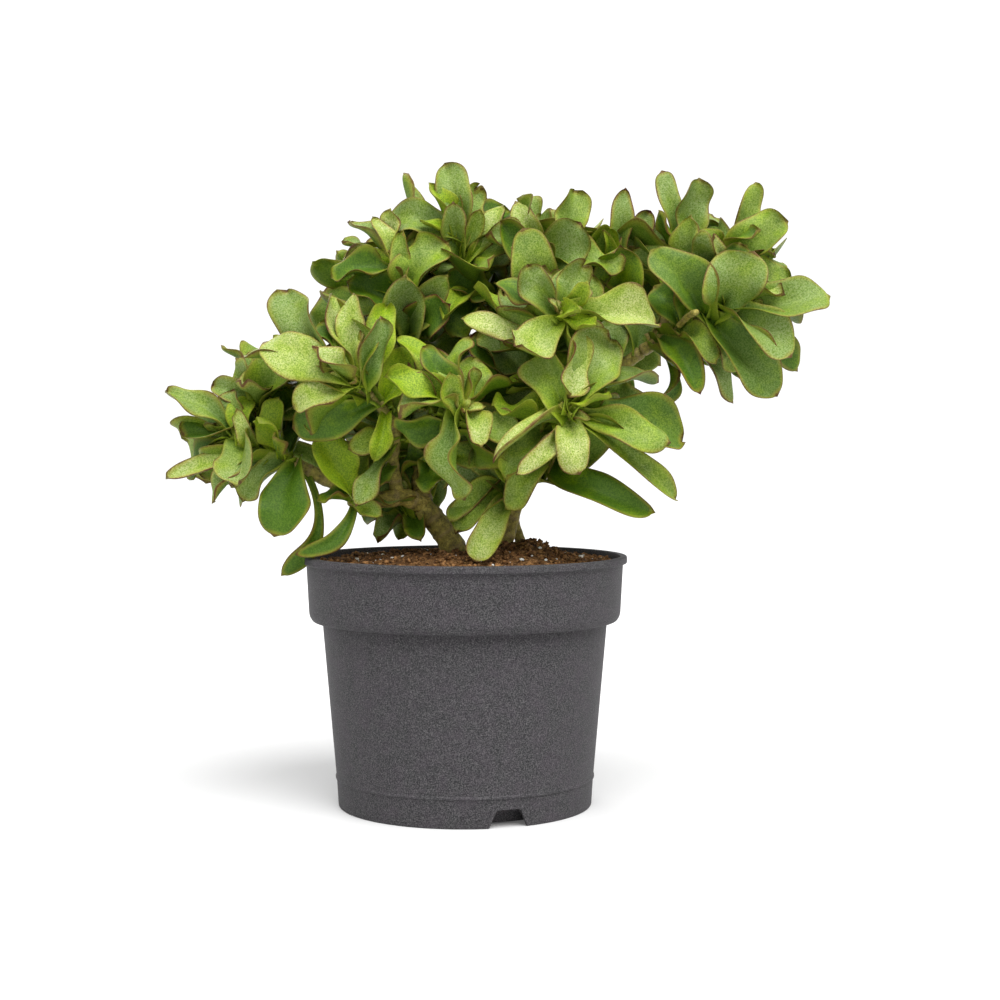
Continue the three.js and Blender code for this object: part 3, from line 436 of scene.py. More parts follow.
# %% Short ways to build a finish
class Finish:
    """A material and short ways to add nodes to it."""

    def __init__(self, name):
        self.material = bpy.data.materials.new(name)
        self.material.use_nodes = True
        self.tree = self.material.node_tree
        self.shader = self.tree.nodes["Principled BSDF"]
        self.coords = self.tree.nodes.new("ShaderNodeTexCoord").outputs["Object"]

    def add(self, kind, inputs=(), **settings):
        """A new node, with each input either linked to a socket or set to a value."""
        node = self.tree.nodes.new(kind)
        for key, value in settings.items():
            setattr(node, key, value)
        for key, value in dict(inputs).items():
            if isinstance(value, bpy.types.NodeSocket):
                self.tree.links.new(value, node.inputs[key])
            else:
                node.inputs[key].default_value = value
        return node

    def noise(self, size_mm, detail=3.0, roughness=0.55, stretch=None):
        """Noise from 0 to 1 whose lumps are about size_mm across."""
        coords = self.coords
        if stretch:
            coords = self.add("ShaderNodeMapping", {"Vector": coords, "Scale": stretch}).outputs[0]
        made = self.add("ShaderNodeTexNoise", {
            "Vector": coords, "Scale": 1000.0 / size_mm, "Detail": detail, "Roughness": roughness,
        })
        return made.outputs["Fac"]

    def spots(self, pitch_mm, randomness=1.0):
        """Distance from the nearest of many scattered points, in units of their pitch."""
        made = self.add("ShaderNodeTexVoronoi", {
            "Vector": self.coords, "Scale": 1000.0 / pitch_mm, "Randomness": randomness,
        })
        return made.outputs["Distance"]

    def point(self, name):
        """One of the numbers that give() put on the piece's points."""
        return self.add("ShaderNodeAttribute", attribute_name=name).outputs["Fac"]

    def span(self, value, low, high, to_low=0.0, to_high=1.0):
        """value, moved from low..high to to_low..to_high and held there."""
        made = self.add("ShaderNodeMapRange", {
            "Value": value, "From Min": low, "From Max": high, "To Min": to_low, "To Max": to_high,
        })
        return made.outputs[0]

    def sums(self, how, first, second):
        """Two numbers joined by ADD, MULTIPLY or another rule of arithmetic."""
        return self.add("ShaderNodeMath", {0: first, 1: second}, operation=how).outputs[0]

    def blend(self, amount, first, second, how="MIX"):
        """The first colour, passing into the second as amount goes from 0 to 1."""
        made = self.add("ShaderNodeMix", data_type="RGBA", blend_type=how)
        for socket, value in ((made.inputs[0], amount), (made.inputs[6], first), (made.inputs[7], second)):
            if isinstance(value, bpy.types.NodeSocket):
                self.tree.links.new(value, socket)
            else:
                socket.default_value = (*value, 1.0) if isinstance(value, tuple) else value
        return made.outputs[2]

    def ramp(self, amount, stops):
        """A colour read off a row of (place, colour) stops."""
        made = self.add("ShaderNodeValToRGB", {"Fac": amount})
        elements = made.color_ramp.elements
        while len(elements) < len(stops):
            elements.new(0.5)
        for element, (place, colour) in zip(elements, stops):
            element.position = place
            element.color = (*colour, 1.0)
        return made.outputs["Color"]

    def bump(self, height, depth_mm, strength=1.0):
        """Fine relief, as deep as depth_mm where height goes from 0 to 1."""
        made = self.add("ShaderNodeBump", {
            "Height": height, "Distance": depth_mm * MM, "Strength": strength,
        })
        self.set("Normal", made.outputs[0])

    def set(self, socket, value):
        """Links or sets one input of the finish itself."""
        if isinstance(value, bpy.types.NodeSocket):
            self.tree.links.new(value, self.shader.inputs[socket])
        else:
            self.shader.inputs[socket].default_value = value


print("short ways to build a finish:", [way for way in vars(Finish) if not way.startswith("_")])


# %% [markdown]
# ### Pot plastic
# Recycled polypropylene, moulded with a fine matt grain. Its grey is mottled with specks of lighter and
# faintly warmer plastic about half a millimetre across.

# %% Pot plastic
def pot_plastic():
    made = Finish("pot_plastic")
    grain = made.noise(0.6, detail=3.0, roughness=0.75)
    drift = made.noise(9.0, detail=3.0)
    grey = made.ramp(grain, [
        (0.35, (0.014, 0.014, 0.015)), (0.5, (0.042, 0.041, 0.043)), (0.66, (0.125, 0.12, 0.123)),
    ])
    cast = made.blend(made.span(drift, 0.4, 0.7, 0.0, 0.22), grey, (0.075, 0.055, 0.074))
    made.set("Base Color", cast)
    made.set("Roughness", made.span(grain, 0.3, 0.7, 0.52, 0.68))
    made.set("Specular IOR Level", 0.13)
    made.bump(made.sums("ADD", grain, made.sums("MULTIPLY", drift, 0.5)), 0.09, 0.55)
    return made.material


POT_PLASTIC = pot_plastic()
print("pot plastic nodes:", len(POT_PLASTIC.node_tree.nodes))


# %% [markdown]
# ### Peat, crumbs and perlite
# Dry peat is a warm red brown on its crumbs, and its hollows are painted nearly black as painted shade.
# Perlite is a white, frothy volcanic glass with pinholes, which are painted grey as painted shade.

# %% Peat and perlite
def peat():
    made = Finish("peat_soil")
    lumps = made.noise(3.2, detail=6.0, roughness=0.75)
    fibres = made.noise(1.4, detail=4.0, stretch=(1.0, 0.3, 0.7))
    # painted shade: the ramp follows the same noise as the bump, so the sunken hollows are painted nearly
    # black and the raised crumbs a warm red brown
    brown_and_hollow_shade = made.ramp(lumps, [
        (0.34, (0.012, 0.006, 0.003)), (0.5, (0.13, 0.06, 0.02)), (0.64, (0.42, 0.22, 0.085)),
    ])
    made.set("Base Color", made.blend(made.span(fibres, 0.55, 0.8, 0.0, 0.6), brown_and_hollow_shade, (0.3, 0.18, 0.085)))
    made.set("Roughness", 0.95)
    made.set("Specular IOR Level", 0.2)
    made.bump(made.sums("ADD", lumps, fibres), 0.9, 0.8)
    return made.material


def perlite():
    made = Finish("perlite")
    froth = made.spots(0.5)
    # painted shade: the pits that the bump sinks at each spot are painted grey, the rest white
    made.set("Base Color", made.ramp(froth, [(0.1, (0.5, 0.46, 0.38)), (0.5, (0.85, 0.82, 0.76))]))
    made.set("Roughness", 0.8)
    made.set("Subsurface Weight", 0.15)
    made.bump(froth, 0.25, 0.7)
    return made.material


PEAT = peat()
PERLITE = perlite()
print("peat and perlite nodes:", len(PEAT.node_tree.nodes), len(PERLITE.node_tree.nodes))


# %% [markdown]
# ### Bark
# Old stems are olive brown with corky patches and pale rings where leaves have dropped. Toward the tips
# the bark is still thin and green shows through, with an orange flush. The points carry two numbers:
# young, from 0 on old wood to 1 on a green tip, and ring, which is 1 on a leaf scar.

# %% Bark
def bark():
    made = Finish("bark")
    patches = made.noise(3.0, detail=6.0, roughness=0.72)
    flecks = made.noise(0.8, detail=3.0, roughness=0.7)
    old = made.ramp(patches, [
        (0.34, (0.07, 0.045, 0.007)), (0.5, (0.28, 0.225, 0.034)), (0.64, (0.52, 0.42, 0.09)),
    ])
    green = made.ramp(patches, [
        (0.32, (0.17, 0.12, 0.02)), (0.55, (0.25, 0.25, 0.045)), (0.72, (0.38, 0.22, 0.05)),
    ])
    colour = made.blend(made.point("young"), old, green)
    scarred = made.blend(made.sums("MULTIPLY", made.point("ring"), 0.6), colour, (0.34, 0.25, 0.1))
    flecked = made.blend(made.span(flecks, 0.52, 0.7, 0.0, 0.65), scarred, (0.03, 0.018, 0.006))
    made.set("Base Color", flecked)
    made.set("Roughness", made.span(patches, 0.3, 0.7, 0.55, 0.8))
    made.set("Subsurface Weight", 0.06)
    made.set("Subsurface Radius", (0.002, 0.0012, 0.0005))
    made.bump(made.sums("ADD", patches, flecks), 0.6, 0.8)
    return made.material


BARK = bark()
print("bark nodes:", len(BARK.node_tree.nodes))


# %% [markdown]
# ### Leaf
# A ripple jade leaf is grey green under a thin waxy bloom. The bloom is rubbed thin near the base, where
# the flesh shows yellow green, and the thickened rim is stained maroon, most of all round the tip. Fine
# dark pores are scattered over both faces. A lighter yellow band just inside the rim is painted light,
# where the curled margin catches it, and the lower face is painted a deeper green as painted shade. Each
# leaf's points carry: rim, the distance in millimetres from the leaf's edge; along, from 0 at the base to
# 1 at the tip; under, which is 1 on the lower face; and tone, wax and flush, three numbers that are the
# same over one leaf.

# %% Leaf
def leaf_flesh():
    made = Finish("leaf")
    rim, along, tone = made.point("rim"), made.point("along"), made.point("tone")
    clouds = made.noise(11.0, detail=3.0)
    grain = made.noise(0.8, detail=3.0, roughness=0.75)
    pores = made.spots(1.3)

    mottled = made.sums("ADD", tone, made.span(clouds, 0.3, 0.7, -0.4, 0.4))
    flesh = made.blend(mottled, (0.26, 0.37, 0.004), (0.07, 0.145, 0.004))
    bloom = made.blend(mottled, (0.54, 0.57, 0.23), (0.29, 0.37, 0.13))
    waxy = made.sums("MULTIPLY", made.span(along, 0.1, 0.7, 0.1, 1.0), made.point("wax"))
    cover = made.sums("MULTIPLY", waxy, made.span(clouds, 0.32, 0.6, 0.3, 1.0))
    blade = made.blend(cover, flesh, bloom)
    # painted shade: the lower face is painted a deeper green, for the face turned away from the light
    lower = made.blend(made.sums("MULTIPLY", made.point("under"), 0.7), blade, (0.12, 0.2, 0.006))
    grained = made.blend(made.span(grain, 0.41, 0.59, 0.95, 0.0), lower, (0.42, 0.56, 0.16), how="MULTIPLY")
    pored = made.blend(made.span(pores, 0.27, 0.12, 0.0, 0.7), grained, (0.05, 0.09, 0.008))

    # painted light: a lighter yellow band, strongest at the rim and gone 2.2 mm in, where the curled margin
    # catches the light
    lit = made.blend(made.span(rim, 2.2, 0.5, 0.0, 0.3), pored, (0.34, 0.38, 0.03))
    patchy = made.sums("MULTIPLY", made.span(along, 0.1, 0.5), made.span(clouds, 0.4, 0.58, 0.45, 1.0))
    flush = made.sums("MULTIPLY", made.point("flush"), patchy)
    ragged = made.sums("ADD", rim, made.span(grain, 0.35, 0.65, -0.2, 0.2))
    blush = made.sums("MULTIPLY", flush, made.span(ragged, 2.4, 0.6, 0.0, 0.4))
    halo = made.blend(blush, lit, (0.26, 0.11, 0.02))
    stain = made.sums("MULTIPLY", made.span(ragged, 0.75, 0.3), flush)
    made.set("Base Color", made.blend(stain, halo, (0.085, 0.022, 0.012)))
    made.set("Roughness", made.span(clouds, 0.3, 0.7, 0.48, 0.62))
    made.set("Specular IOR Level", 0.22)
    made.set("Subsurface Weight", 0.15)
    made.set("Subsurface Radius", (0.0014, 0.002, 0.0003))
    swells = made.sums("MULTIPLY", clouds, 2.0)
    made.bump(made.sums("ADD", swells, made.span(grain, 0.3, 0.7, 0.0, 0.5)), 0.16, 0.7)
    return made.material


LEAF = leaf_flesh()
print("leaf nodes:", len(LEAF.node_tree.nodes))


# %% [markdown]
# ## The pot
# One moulding, turned from a single section: a foot ring, a raised floor, a tapered wall with a faint
# line just above the foot, a step out to the collar, and a small lip. Corners are rounded as a mould
# rounds them. Under the floor a thin ring hangs down just behind the foot ring, and three drain notches
# cut the foot ring and the edge of the floor. The ring is a dark wall put there as painted shade: it is
# what is seen through each notch, where the real pot shows only shade.

# %% The pot's section
FOOT_RADIUS = RIM_RADIUS - 18.5
FLOOR_TOP = 8.5
COLLAR_BOTTOM = POT_HEIGHT - 34.0
COLLAR_TOP_RADIUS = RIM_RADIUS - 2.0
COLLAR_LOW_RADIUS = RIM_RADIUS - 3.5
BODY_TOP_RADIUS = COLLAR_LOW_RADIUS - 7.0
POT_TURNS = 192
POT_SECTION = [
    (0.0, FLOOR_TOP - 2.0, 0.0),
    # painted shade: a thin ring hangs under the floor behind the notches, a dark wall so the notches look
    # dark
    (FOOT_RADIUS - 12.0, FLOOR_TOP - 2.0, 0.5),
    (FOOT_RADIUS - 11.6, 0.8, 0.3),
    (FOOT_RADIUS - 10.4, 0.8, 0.3),
    (FOOT_RADIUS - 10.0, FLOOR_TOP - 2.0, 0.5),
    (FOOT_RADIUS - 2.3, FLOOR_TOP - 2.0, 0.8),
    (FOOT_RADIUS - 2.0, 0.0, 0.5),
    (FOOT_RADIUS, 0.0, 0.9),
    (FOOT_RADIUS + 0.9, 14.4, 0.2),
    (FOOT_RADIUS + 1.5, 14.8, 0.2),
    (FOOT_RADIUS + 1.5, 15.6, 0.2),
    (FOOT_RADIUS + 1.1, 16.4, 0.2),
    (BODY_TOP_RADIUS - 0.2, COLLAR_BOTTOM - 4.0, 2.0),
    (BODY_TOP_RADIUS, COLLAR_BOTTOM - 0.2, 0.5),
    (COLLAR_LOW_RADIUS - 1.8, COLLAR_BOTTOM, 1.2),
    (COLLAR_LOW_RADIUS, COLLAR_BOTTOM + 3.0, 2.0),
    (COLLAR_TOP_RADIUS - 0.1, POT_HEIGHT - 4.2, 0.6),
    (RIM_RADIUS, POT_HEIGHT - 3.7, 0.5),
    (RIM_RADIUS, POT_HEIGHT - 0.2, 0.9),
    (COLLAR_TOP_RADIUS - 1.5, POT_HEIGHT, 0.7),
    (COLLAR_TOP_RADIUS - 1.8, POT_HEIGHT - 3.0, 0.8),
    (COLLAR_LOW_RADIUS - 1.6, COLLAR_BOTTOM + 3.4, 1.5),
    (BODY_TOP_RADIUS - 1.6, COLLAR_BOTTOM + 1.4, 0.8),
    (FOOT_RADIUS - 1.6, FLOOR_TOP, 1.5),
    (0.0, FLOOR_TOP, 0.0),
]


def rounded(corners, steps=4):
    """The section's corners, each cut back by its own length and turned into a short arc."""
    places = []
    for index, (x, z, cut) in enumerate(corners):
        here = Vector((x, z))
        if cut == 0.0:
            places.append(here)
            continue
        before = Vector(corners[index - 1][:2]) - here
        after = Vector(corners[index + 1][:2]) - here
        start = here + before.normalized() * min(cut, before.length * 0.45)
        end = here + after.normalized() * min(cut, after.length * 0.45)
        for step in range(steps + 1):
            t = step / steps
            places.append(start * (1 - t) ** 2 + here * 2 * t * (1 - t) + end * t**2)
    return places


print("points round the pot's section:", len(rounded(POT_SECTION)))


# %% The pot's body
def around_axis(radius, turn, turns):
    """A place on a circle round the pot's axis, which is split into so many turns."""
    angle = math.tau * turn / turns
    return POT_X + radius * math.cos(angle), POT_Y + radius * math.sin(angle)


def turned_body(name, section, turns, material):
    """Turns a section that starts and ends on the axis into a closed body round the pot's axis."""
    inner = section[1:-1]
    verts = [(POT_X, POT_Y, section[0].y), (POT_X, POT_Y, section[-1].y)]
    for turn in range(turns):
        verts += [(*around_axis(p.x, turn, turns), p.y) for p in inner]
    count = len(inner)
    faces = []
    for turn in range(turns):
        here = 2 + turn * count
        there = 2 + (turn + 1) % turns * count
        faces.append((0, there, here))
        faces.append((1, here + count - 1, there + count - 1))
        faces += [(here + k, there + k, there + k + 1, here + k + 1) for k in range(count - 1)]
    return new_piece(name, verts, faces, material)


pot = turned_body("pot_body", rounded(POT_SECTION), POT_TURNS, POT_PLASTIC)
print("pot faces before it is cut:", len(pot.data.polygons))


# %% The drain notches
NOTCH_TURNS = (20, 140, 260)
NOTCH_OUTLINE = [
    (-10.6, -1.0, 0.0), (10.6, -1.0, 0.0), (6.4, 9.2, 1.6), (-6.4, 9.2, 1.6), (-10.6, -1.0, 0.0),
]
SHARP_ANGLE = 38


def notch_cutter(turn):
    """A wedge with rounded upper corners, pointing out from the pot's axis."""
    outline = rounded(NOTCH_OUTLINE, steps=3)[:-1]
    near, far = FOOT_RADIUS - 8.0, FOOT_RADIUS + 6.0
    verts = [(p.x, -reach, p.y) for reach in (near, far) for p in outline]
    count = len(outline)
    faces = [tuple(reversed(range(count))), tuple(range(count, 2 * count))]
    faces += [(k, (k + 1) % count, (k + 1) % count + count, k + count) for k in range(count)]
    mesh = bpy.data.meshes.new("notch")
    mesh.from_pydata(verts, [], faces)
    turned = Matrix.Rotation(math.radians(turn), 4, "Z")
    mesh.transform(Matrix.Scale(MM, 4) @ Matrix.Translation((POT_X, POT_Y, 0.0)) @ turned)
    cutter = bpy.data.objects.new("notch", mesh)
    bpy.context.scene.collection.objects.link(cutter)
    return cutter


def cut(piece, cutters):
    """Cuts the cutters out of a piece for good, and throws them away."""
    for cutter in cutters:
        modifier = piece.modifiers.new("cut", "BOOLEAN")
        modifier.operation = "DIFFERENCE"
        modifier.solver = "EXACT"
        modifier.object = cutter
    depsgraph = bpy.context.evaluated_depsgraph_get()
    finished = bpy.data.meshes.new_from_object(piece.evaluated_get(depsgraph))
    piece.modifiers.clear()
    piece.data = finished
    for cutter in cutters:
        bpy.data.objects.remove(cutter)


cut(pot, [notch_cutter(turn) for turn in NOTCH_TURNS])
pot.data.shade_smooth()
pot.data.set_sharp_from_angle(angle=math.radians(SHARP_ANGLE))
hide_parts("pot")
print("pot faces:", len(pot.data.polygons))


# %% [markdown]
# ## The soil
# The root ball fills the pot. Only its crumbly top shows, mounded a little round the stems, so the top is
# a fine polar net pushed up and down by layers of noise, and a plain skirt and floor close it below.
# Loose crumbs of peat and grains of perlite lie on it.

# %% The soil's top
SOIL_RADIUS = COLLAR_TOP_RADIUS - 2.4
SOIL_EDGE = SOIL_AT_WALL + 1.6
SOIL_MOUND = SOIL_AT_STEMS - 2.0 - SOIL_AT_WALL
HEAP_HEIGHT = 6.5
LUMPS = ((17.0, 1.5), (6.0, 1.3), (2.6, 1.2))


def soil_level(x, y):
    """Height of the soil at a place measured from the pot's axis."""
    out = min(math.hypot(x, y) / SOIL_RADIUS, 1.0)
    mound = SOIL_EDGE + SOIL_MOUND * (0.5 + 0.5 * math.cos(math.pi * out)) ** 0.8
    heap = HEAP_HEIGHT * math.exp(-((x - 33) ** 2 / 330.0 + (y - 2) ** 2 / 700.0))
    place = Vector((x, y, 0.0))
    lumps = sum(noise.noise(place / size) * height for size, height in LUMPS)
    grit = abs(noise.noise(place / 1.3)) * 1.2
    quiet = 1.0 - 0.6 * out**6
    return mound + heap + (lumps + grit) * quiet


print("soil at the pot's axis:", round(soil_level(0, 0), 1), "mm")


# %% The root ball
SOIL_RINGS = 86
SOIL_TURNS = 220
ROOT_BALL_FOOT = FLOOR_TOP + 1.0
ROOT_BALL_SHELF = COLLAR_BOTTOM + 5.0
ROOT_BALL_LEVELS = [
    (COLLAR_LOW_RADIUS - 3.0, ROOT_BALL_SHELF),
    (BODY_TOP_RADIUS - 3.0, ROOT_BALL_SHELF - 4.0),
    (FOOT_RADIUS - 3.0, ROOT_BALL_FOOT),
]


def soil_body():
    """The crumbly top as rings of points, then the skirt and the floor inside the pot."""
    verts = [(POT_X, POT_Y, soil_level(0, 0))]
    for ring in range(1, SOIL_RINGS + 1):
        radius = SOIL_RADIUS * ring / SOIL_RINGS
        for turn in range(SOIL_TURNS):
            angle = math.tau * turn / SOIL_TURNS
            x, y = radius * math.cos(angle), radius * math.sin(angle)
            verts.append((POT_X + x, POT_Y + y, soil_level(x, y)))
    for radius, height in ROOT_BALL_LEVELS:
        verts += [(*around_axis(radius, turn, SOIL_TURNS), height) for turn in range(SOIL_TURNS)]
    verts.append((POT_X, POT_Y, ROOT_BALL_FOOT))
    rings = SOIL_RINGS + len(ROOT_BALL_LEVELS)
    following = [(turn, (turn + 1) % SOIL_TURNS) for turn in range(SOIL_TURNS)]
    faces = [(0, 1 + turn, 1 + after) for turn, after in following]
    for ring in range(rings - 1):
        inner, outer = 1 + ring * SOIL_TURNS, 1 + (ring + 1) * SOIL_TURNS
        faces += [(inner + turn, outer + turn, outer + after, inner + after) for turn, after in following]
    last = 1 + (rings - 1) * SOIL_TURNS
    faces += [(last + turn, len(verts) - 1, last + after) for turn, after in following]
    return new_piece("root_ball", verts, faces, PEAT)


soil = soil_body()
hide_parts("soil")
print("soil points:", len(soil.data.vertices))


# %% [markdown]
# ### Loose crumbs
# One lump is a 20-sided ball whose sides are split once, squashed, turned and dented by noise. Hundreds of
# them, half sunk, make one piece of crumbs and one of perlite: far fewer pieces to handle than one each.

# %% A ball with its sides split once
GOLDEN = (1 + 5**0.5) / 2
BALL_CORNERS = [
    (-1, GOLDEN, 0), (1, GOLDEN, 0), (-1, -GOLDEN, 0), (1, -GOLDEN, 0),
    (0, -1, GOLDEN), (0, 1, GOLDEN), (0, -1, -GOLDEN), (0, 1, -GOLDEN),
    (GOLDEN, 0, -1), (GOLDEN, 0, 1), (-GOLDEN, 0, -1), (-GOLDEN, 0, 1),
]
BALL_SIDES = [
    (0, 11, 5), (0, 5, 1), (0, 1, 7), (0, 7, 10), (0, 10, 11), (1, 5, 9), (5, 11, 4), (11, 10, 2),
    (10, 7, 6), (7, 1, 8), (3, 9, 4), (3, 4, 2), (3, 2, 6), (3, 6, 8), (3, 8, 9), (4, 9, 5),
    (2, 4, 11), (6, 2, 10), (8, 6, 7), (9, 8, 1),
]


def split_ball():
    """Corners and sides of the ball after each side is split into four."""
    corners = [Vector(corner).normalized() for corner in BALL_CORNERS]
    halves, split = {}, []
    for a, b, c in BALL_SIDES:
        middles = []
        for pair in ((a, b), (b, c), (c, a)):
            key = tuple(sorted(pair))
            if key not in halves:
                halves[key] = len(corners)
                corners.append((corners[pair[0]] + corners[pair[1]]).normalized())
            middles.append(halves[key])
        ab, bc, ca = middles
        split += [(a, ab, ca), (b, bc, ab), (c, ca, bc), (ab, bc, ca)]
    return corners, split


LUMP_CORNERS, LUMP_SIDES = split_ball()
print("one lump has points and sides:", len(LUMP_CORNERS), len(LUMP_SIDES))


# %% Crumbs and perlite
CRUMBS = 1500
PERLITE_GRAINS = 130


def lump_points(rng, centre, size, roughness):
    """Points of one small lump, squashed, turned and dented."""
    shape = Vector((rng.uniform(0.7, 1.2), rng.uniform(0.7, 1.2), rng.uniform(0.5, 0.9))) * size
    turn = Matrix.Rotation(rng.uniform(0, math.tau), 3, "Z")
    turn = turn @ Matrix.Rotation(rng.uniform(-0.6, 0.6), 3, "X")
    points = []
    for corner in LUMP_CORNERS:
        dent = 1.0 + roughness * noise.noise(corner * 1.7 + centre)
        squashed = Vector((corner.x * shape.x, corner.y * shape.y, corner.z * shape.z))
        points.append(centre + turn @ squashed * dent)
    return points


def scatter(name, count, seed, sizes, roughness, material):
    """Lumps that lie half sunk on the soil, joined into one piece."""
    rng = random.Random(seed)
    verts, faces = [], []
    for _ in range(count):
        radius = (SOIL_RADIUS - 1.5) * math.sqrt(rng.random())
        angle = rng.uniform(0, math.tau)
        x, y = radius * math.cos(angle), radius * math.sin(angle)
        size = rng.uniform(*sizes) * rng.uniform(0.6, 1.0)
        centre = Vector((POT_X + x, POT_Y + y, soil_level(x, y) + size * 0.25))
        faces += [tuple(len(verts) + k for k in side) for side in LUMP_SIDES]
        verts += lump_points(rng, centre, size, roughness)
    return new_piece(name, [tuple(v) for v in verts], faces, material)


crumbs = scatter("peat_crumbs", CRUMBS, 11, (0.6, 2.3), 1.1, PEAT)
grains = scatter("perlite_grains", PERLITE_GRAINS, 23, (0.6, 1.7), 0.6, PERLITE)
print("crumb and perlite points:", len(crumbs.data.vertices), len(grains.data.vertices))


# %% [markdown]
# ## Stems
# Jade stems are thick and fleshy. Where a leaf pair has dropped, a raised ring with a paler line stays
# round the stem, 8 to 12 mm from the next. The bark is drawn in between the rings and softly lumpy.

# %% One stem
STEM_SIDES = 28
STEM_FULLNESS = 1.08
RING_WIDTH = 0.9


def stem_piece(name, points, start_radius, end_radius, young, ring_gap, seed):
    """A bark skin along a smooth curve, with a raised ring every ring_gap millimetres."""
    places = smooth_curve([sighted(*point) for point in points])
    tangents, sides = carried_frames(places)
    lengths = [0.0]
    for before, after in zip(places, places[1:]):
        lengths.append(lengths[-1] + (after - before).length)
    verts, age, ringed = [], [], []
    for place, tangent, side, length in zip(places, tangents, sides, lengths):
        share = length / lengths[-1]
        phase = (length / ring_gap + seed * 0.37) % 1.0
        ridge = math.exp(-((phase - 0.5) * ring_gap / RING_WIDTH) ** 2)
        radius = STEM_FULLNESS * (start_radius + (end_radius - start_radius) * share)
        other = tangent.cross(side)
        for step in range(STEM_SIDES):
            angle = math.tau * step / STEM_SIDES
            out = side * math.cos(angle) + other * math.sin(angle)
            spot = place + out * radius
            lump = noise.noise(spot / 6.0) * 0.08 + noise.noise(spot / 2.0) * 0.06
            furrow = 0.035 * noise.noise(Vector((math.cos(angle), math.sin(angle), length / 60.0)) * 3.0)
            wobble = 1.0 + 0.08 * ridge - 0.03 * math.sin(math.tau * phase) + lump + furrow
            verts.append(tuple(place + out * radius * wobble))
            age.append(min(1.0, max(0.0, young[0] + (young[1] - young[0]) * share)))
            ringed.append(ridge)
    faces = []
    for ring in range(len(places) - 1):
        here, there = ring * STEM_SIDES, (ring + 1) * STEM_SIDES
        faces += [
            (here + k, here + (k + 1) % STEM_SIDES, there + (k + 1) % STEM_SIDES, there + k)
            for k in range(STEM_SIDES)
        ]
    last = (len(places) - 1) * STEM_SIDES
    tip = places[-1] + tangents[-1] * end_radius * 0.5
    verts += [tuple(places[0]), tuple(tip)]
    age += [young[0], young[1]]
    ringed += [0.0, 0.0]
    faces += [(len(verts) - 2, (k + 1) % STEM_SIDES, k) for k in range(STEM_SIDES)]
    faces += [(len(verts) - 1, last + k, last + (k + 1) % STEM_SIDES) for k in range(STEM_SIDES)]
    piece = new_piece(name, verts, faces, BARK)
    give(piece, "young", age)
    give(piece, "ring", ringed)
    return piece


WOOD_RING_GAP = 9.5
WOOD_YOUTH = (0.0, 0.45)
for number, (name, (start_radius, end_radius, points)) in enumerate(WOOD.items()):
    wood = stem_piece(f"{name}_bark", points, start_radius, end_radius, WOOD_YOUTH, WOOD_RING_GAP, number)
    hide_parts(name)
print("woody stems:", len(WOOD))


# %% [markdown]
# ## One leaf
# A leaf starts from a narrow, thick foot on the stem and widens to a spoon-shaped blade that is broadest
# two thirds of the way up. The blade is 2 to 3 mm thick in the middle and ends in a rounded rim with a
# tiny point. It is bowed along its length, lifted or folded along its midline, and its margins rise and
# fall out of step with each other, which is what gives the plant its rippled look.

# %% The net of points that every leaf is made from
LEAF_ROWS = 30
LEAF_COLUMNS = 17
STEPS_ALONG = 1.0 - (1.0 - np.linspace(0.0, 1.0, LEAF_ROWS)) ** 1.5
STEPS_ACROSS = np.sin(np.linspace(-0.5, 0.5, LEAF_COLUMNS) * np.pi)
ALONG = STEPS_ALONG[:, None]
ACROSS = STEPS_ACROSS[None, :]
EDGE = np.abs(ACROSS)


def ease(values):
    """Values held between 0 and 1, with a soft start and a soft end."""
    held = np.clip(values, 0.0, 1.0)
    return held * held * (3 - 2 * held)


print("points on one skin of a leaf:", LEAF_ROWS * LEAF_COLUMNS)


# %% Where each row of a leaf is and which way it faces
def leaf_frames(base, tip, face, arch, twist, bend):
    """Centre line, side and up directions at each row of the leaf."""
    chord = tip - base
    length = chord.length
    up = (face - chord * (face.dot(chord) / length**2)).normalized()
    side = chord.normalized().cross(up)
    bow = (base + tip) / 2 + up * (2 * arch * length) + side * (bend * length)
    base, bow, tip, up = (np.array(value) for value in (base, bow, tip, up))
    centre = (1 - ALONG) ** 2 * base + 2 * ALONG * (1 - ALONG) * bow + ALONG**2 * tip
    tangent = 2 * (1 - ALONG) * (bow - base) + 2 * ALONG * (tip - bow)
    tangent /= np.linalg.norm(tangent, axis=1, keepdims=True)
    upright = up[None, :] - tangent * (tangent @ up)[:, None]
    upright /= np.linalg.norm(upright, axis=1, keepdims=True)
    sideways = np.cross(tangent, upright)
    angle = np.radians(twist) * ALONG
    turned_side = sideways * np.cos(angle) - upright * np.sin(angle)
    turned_up = upright * np.cos(angle) + sideways * np.sin(angle)
    return centre, turned_side, turned_up


sample_rows, _, _ = leaf_frames(Vector((0, 0, 0)), Vector((0, 0, 30)), Vector((0, -1, 0)), 0.1, 0, 0)
print("a 30 mm leaf with an arch of 0.1 bows by", round(float(np.abs(sample_rows[:, 1]).max()), 1), "mm")


# %% [markdown]
# ### A leaf's form
# Three nets of numbers make a leaf: how wide it is at each place, how far that place is lifted off the flat
# blade, and how thick the flesh is there. Each leaf draws its own small differences, so no two are alike.

# %% Width, lift and thickness
def leaf_half_width(leaf, rng):
    """From the narrow foot to the broadest place and the blunt end, with a slightly uneven margin."""
    foot = leaf.get("foot", min(0.5, 6.0 / leaf["width"]))
    broadest = leaf.get("broadest", rng.uniform(0.56, 0.76))
    broad = foot + (1 - foot) * ease(ALONG / broadest) ** leaf.get("neck", 1.0)
    bluntness = leaf.get("bluntness", rng.uniform(5.0, 8.0))
    end = np.sqrt(np.clip(1.0 - ALONG**bluntness, 0.0, 1.0))
    lean = rng.uniform(-0.14, 0.14)
    notches = np.sin(np.pi * (rng.uniform(2.2, 3.8) * ALONG + rng.uniform(0, 2)) + np.sign(ACROSS) * 1.3)
    return leaf["width"] / 2 * broad * end * (1.0 + lean * ACROSS) * (1.0 + 0.09 * notches)


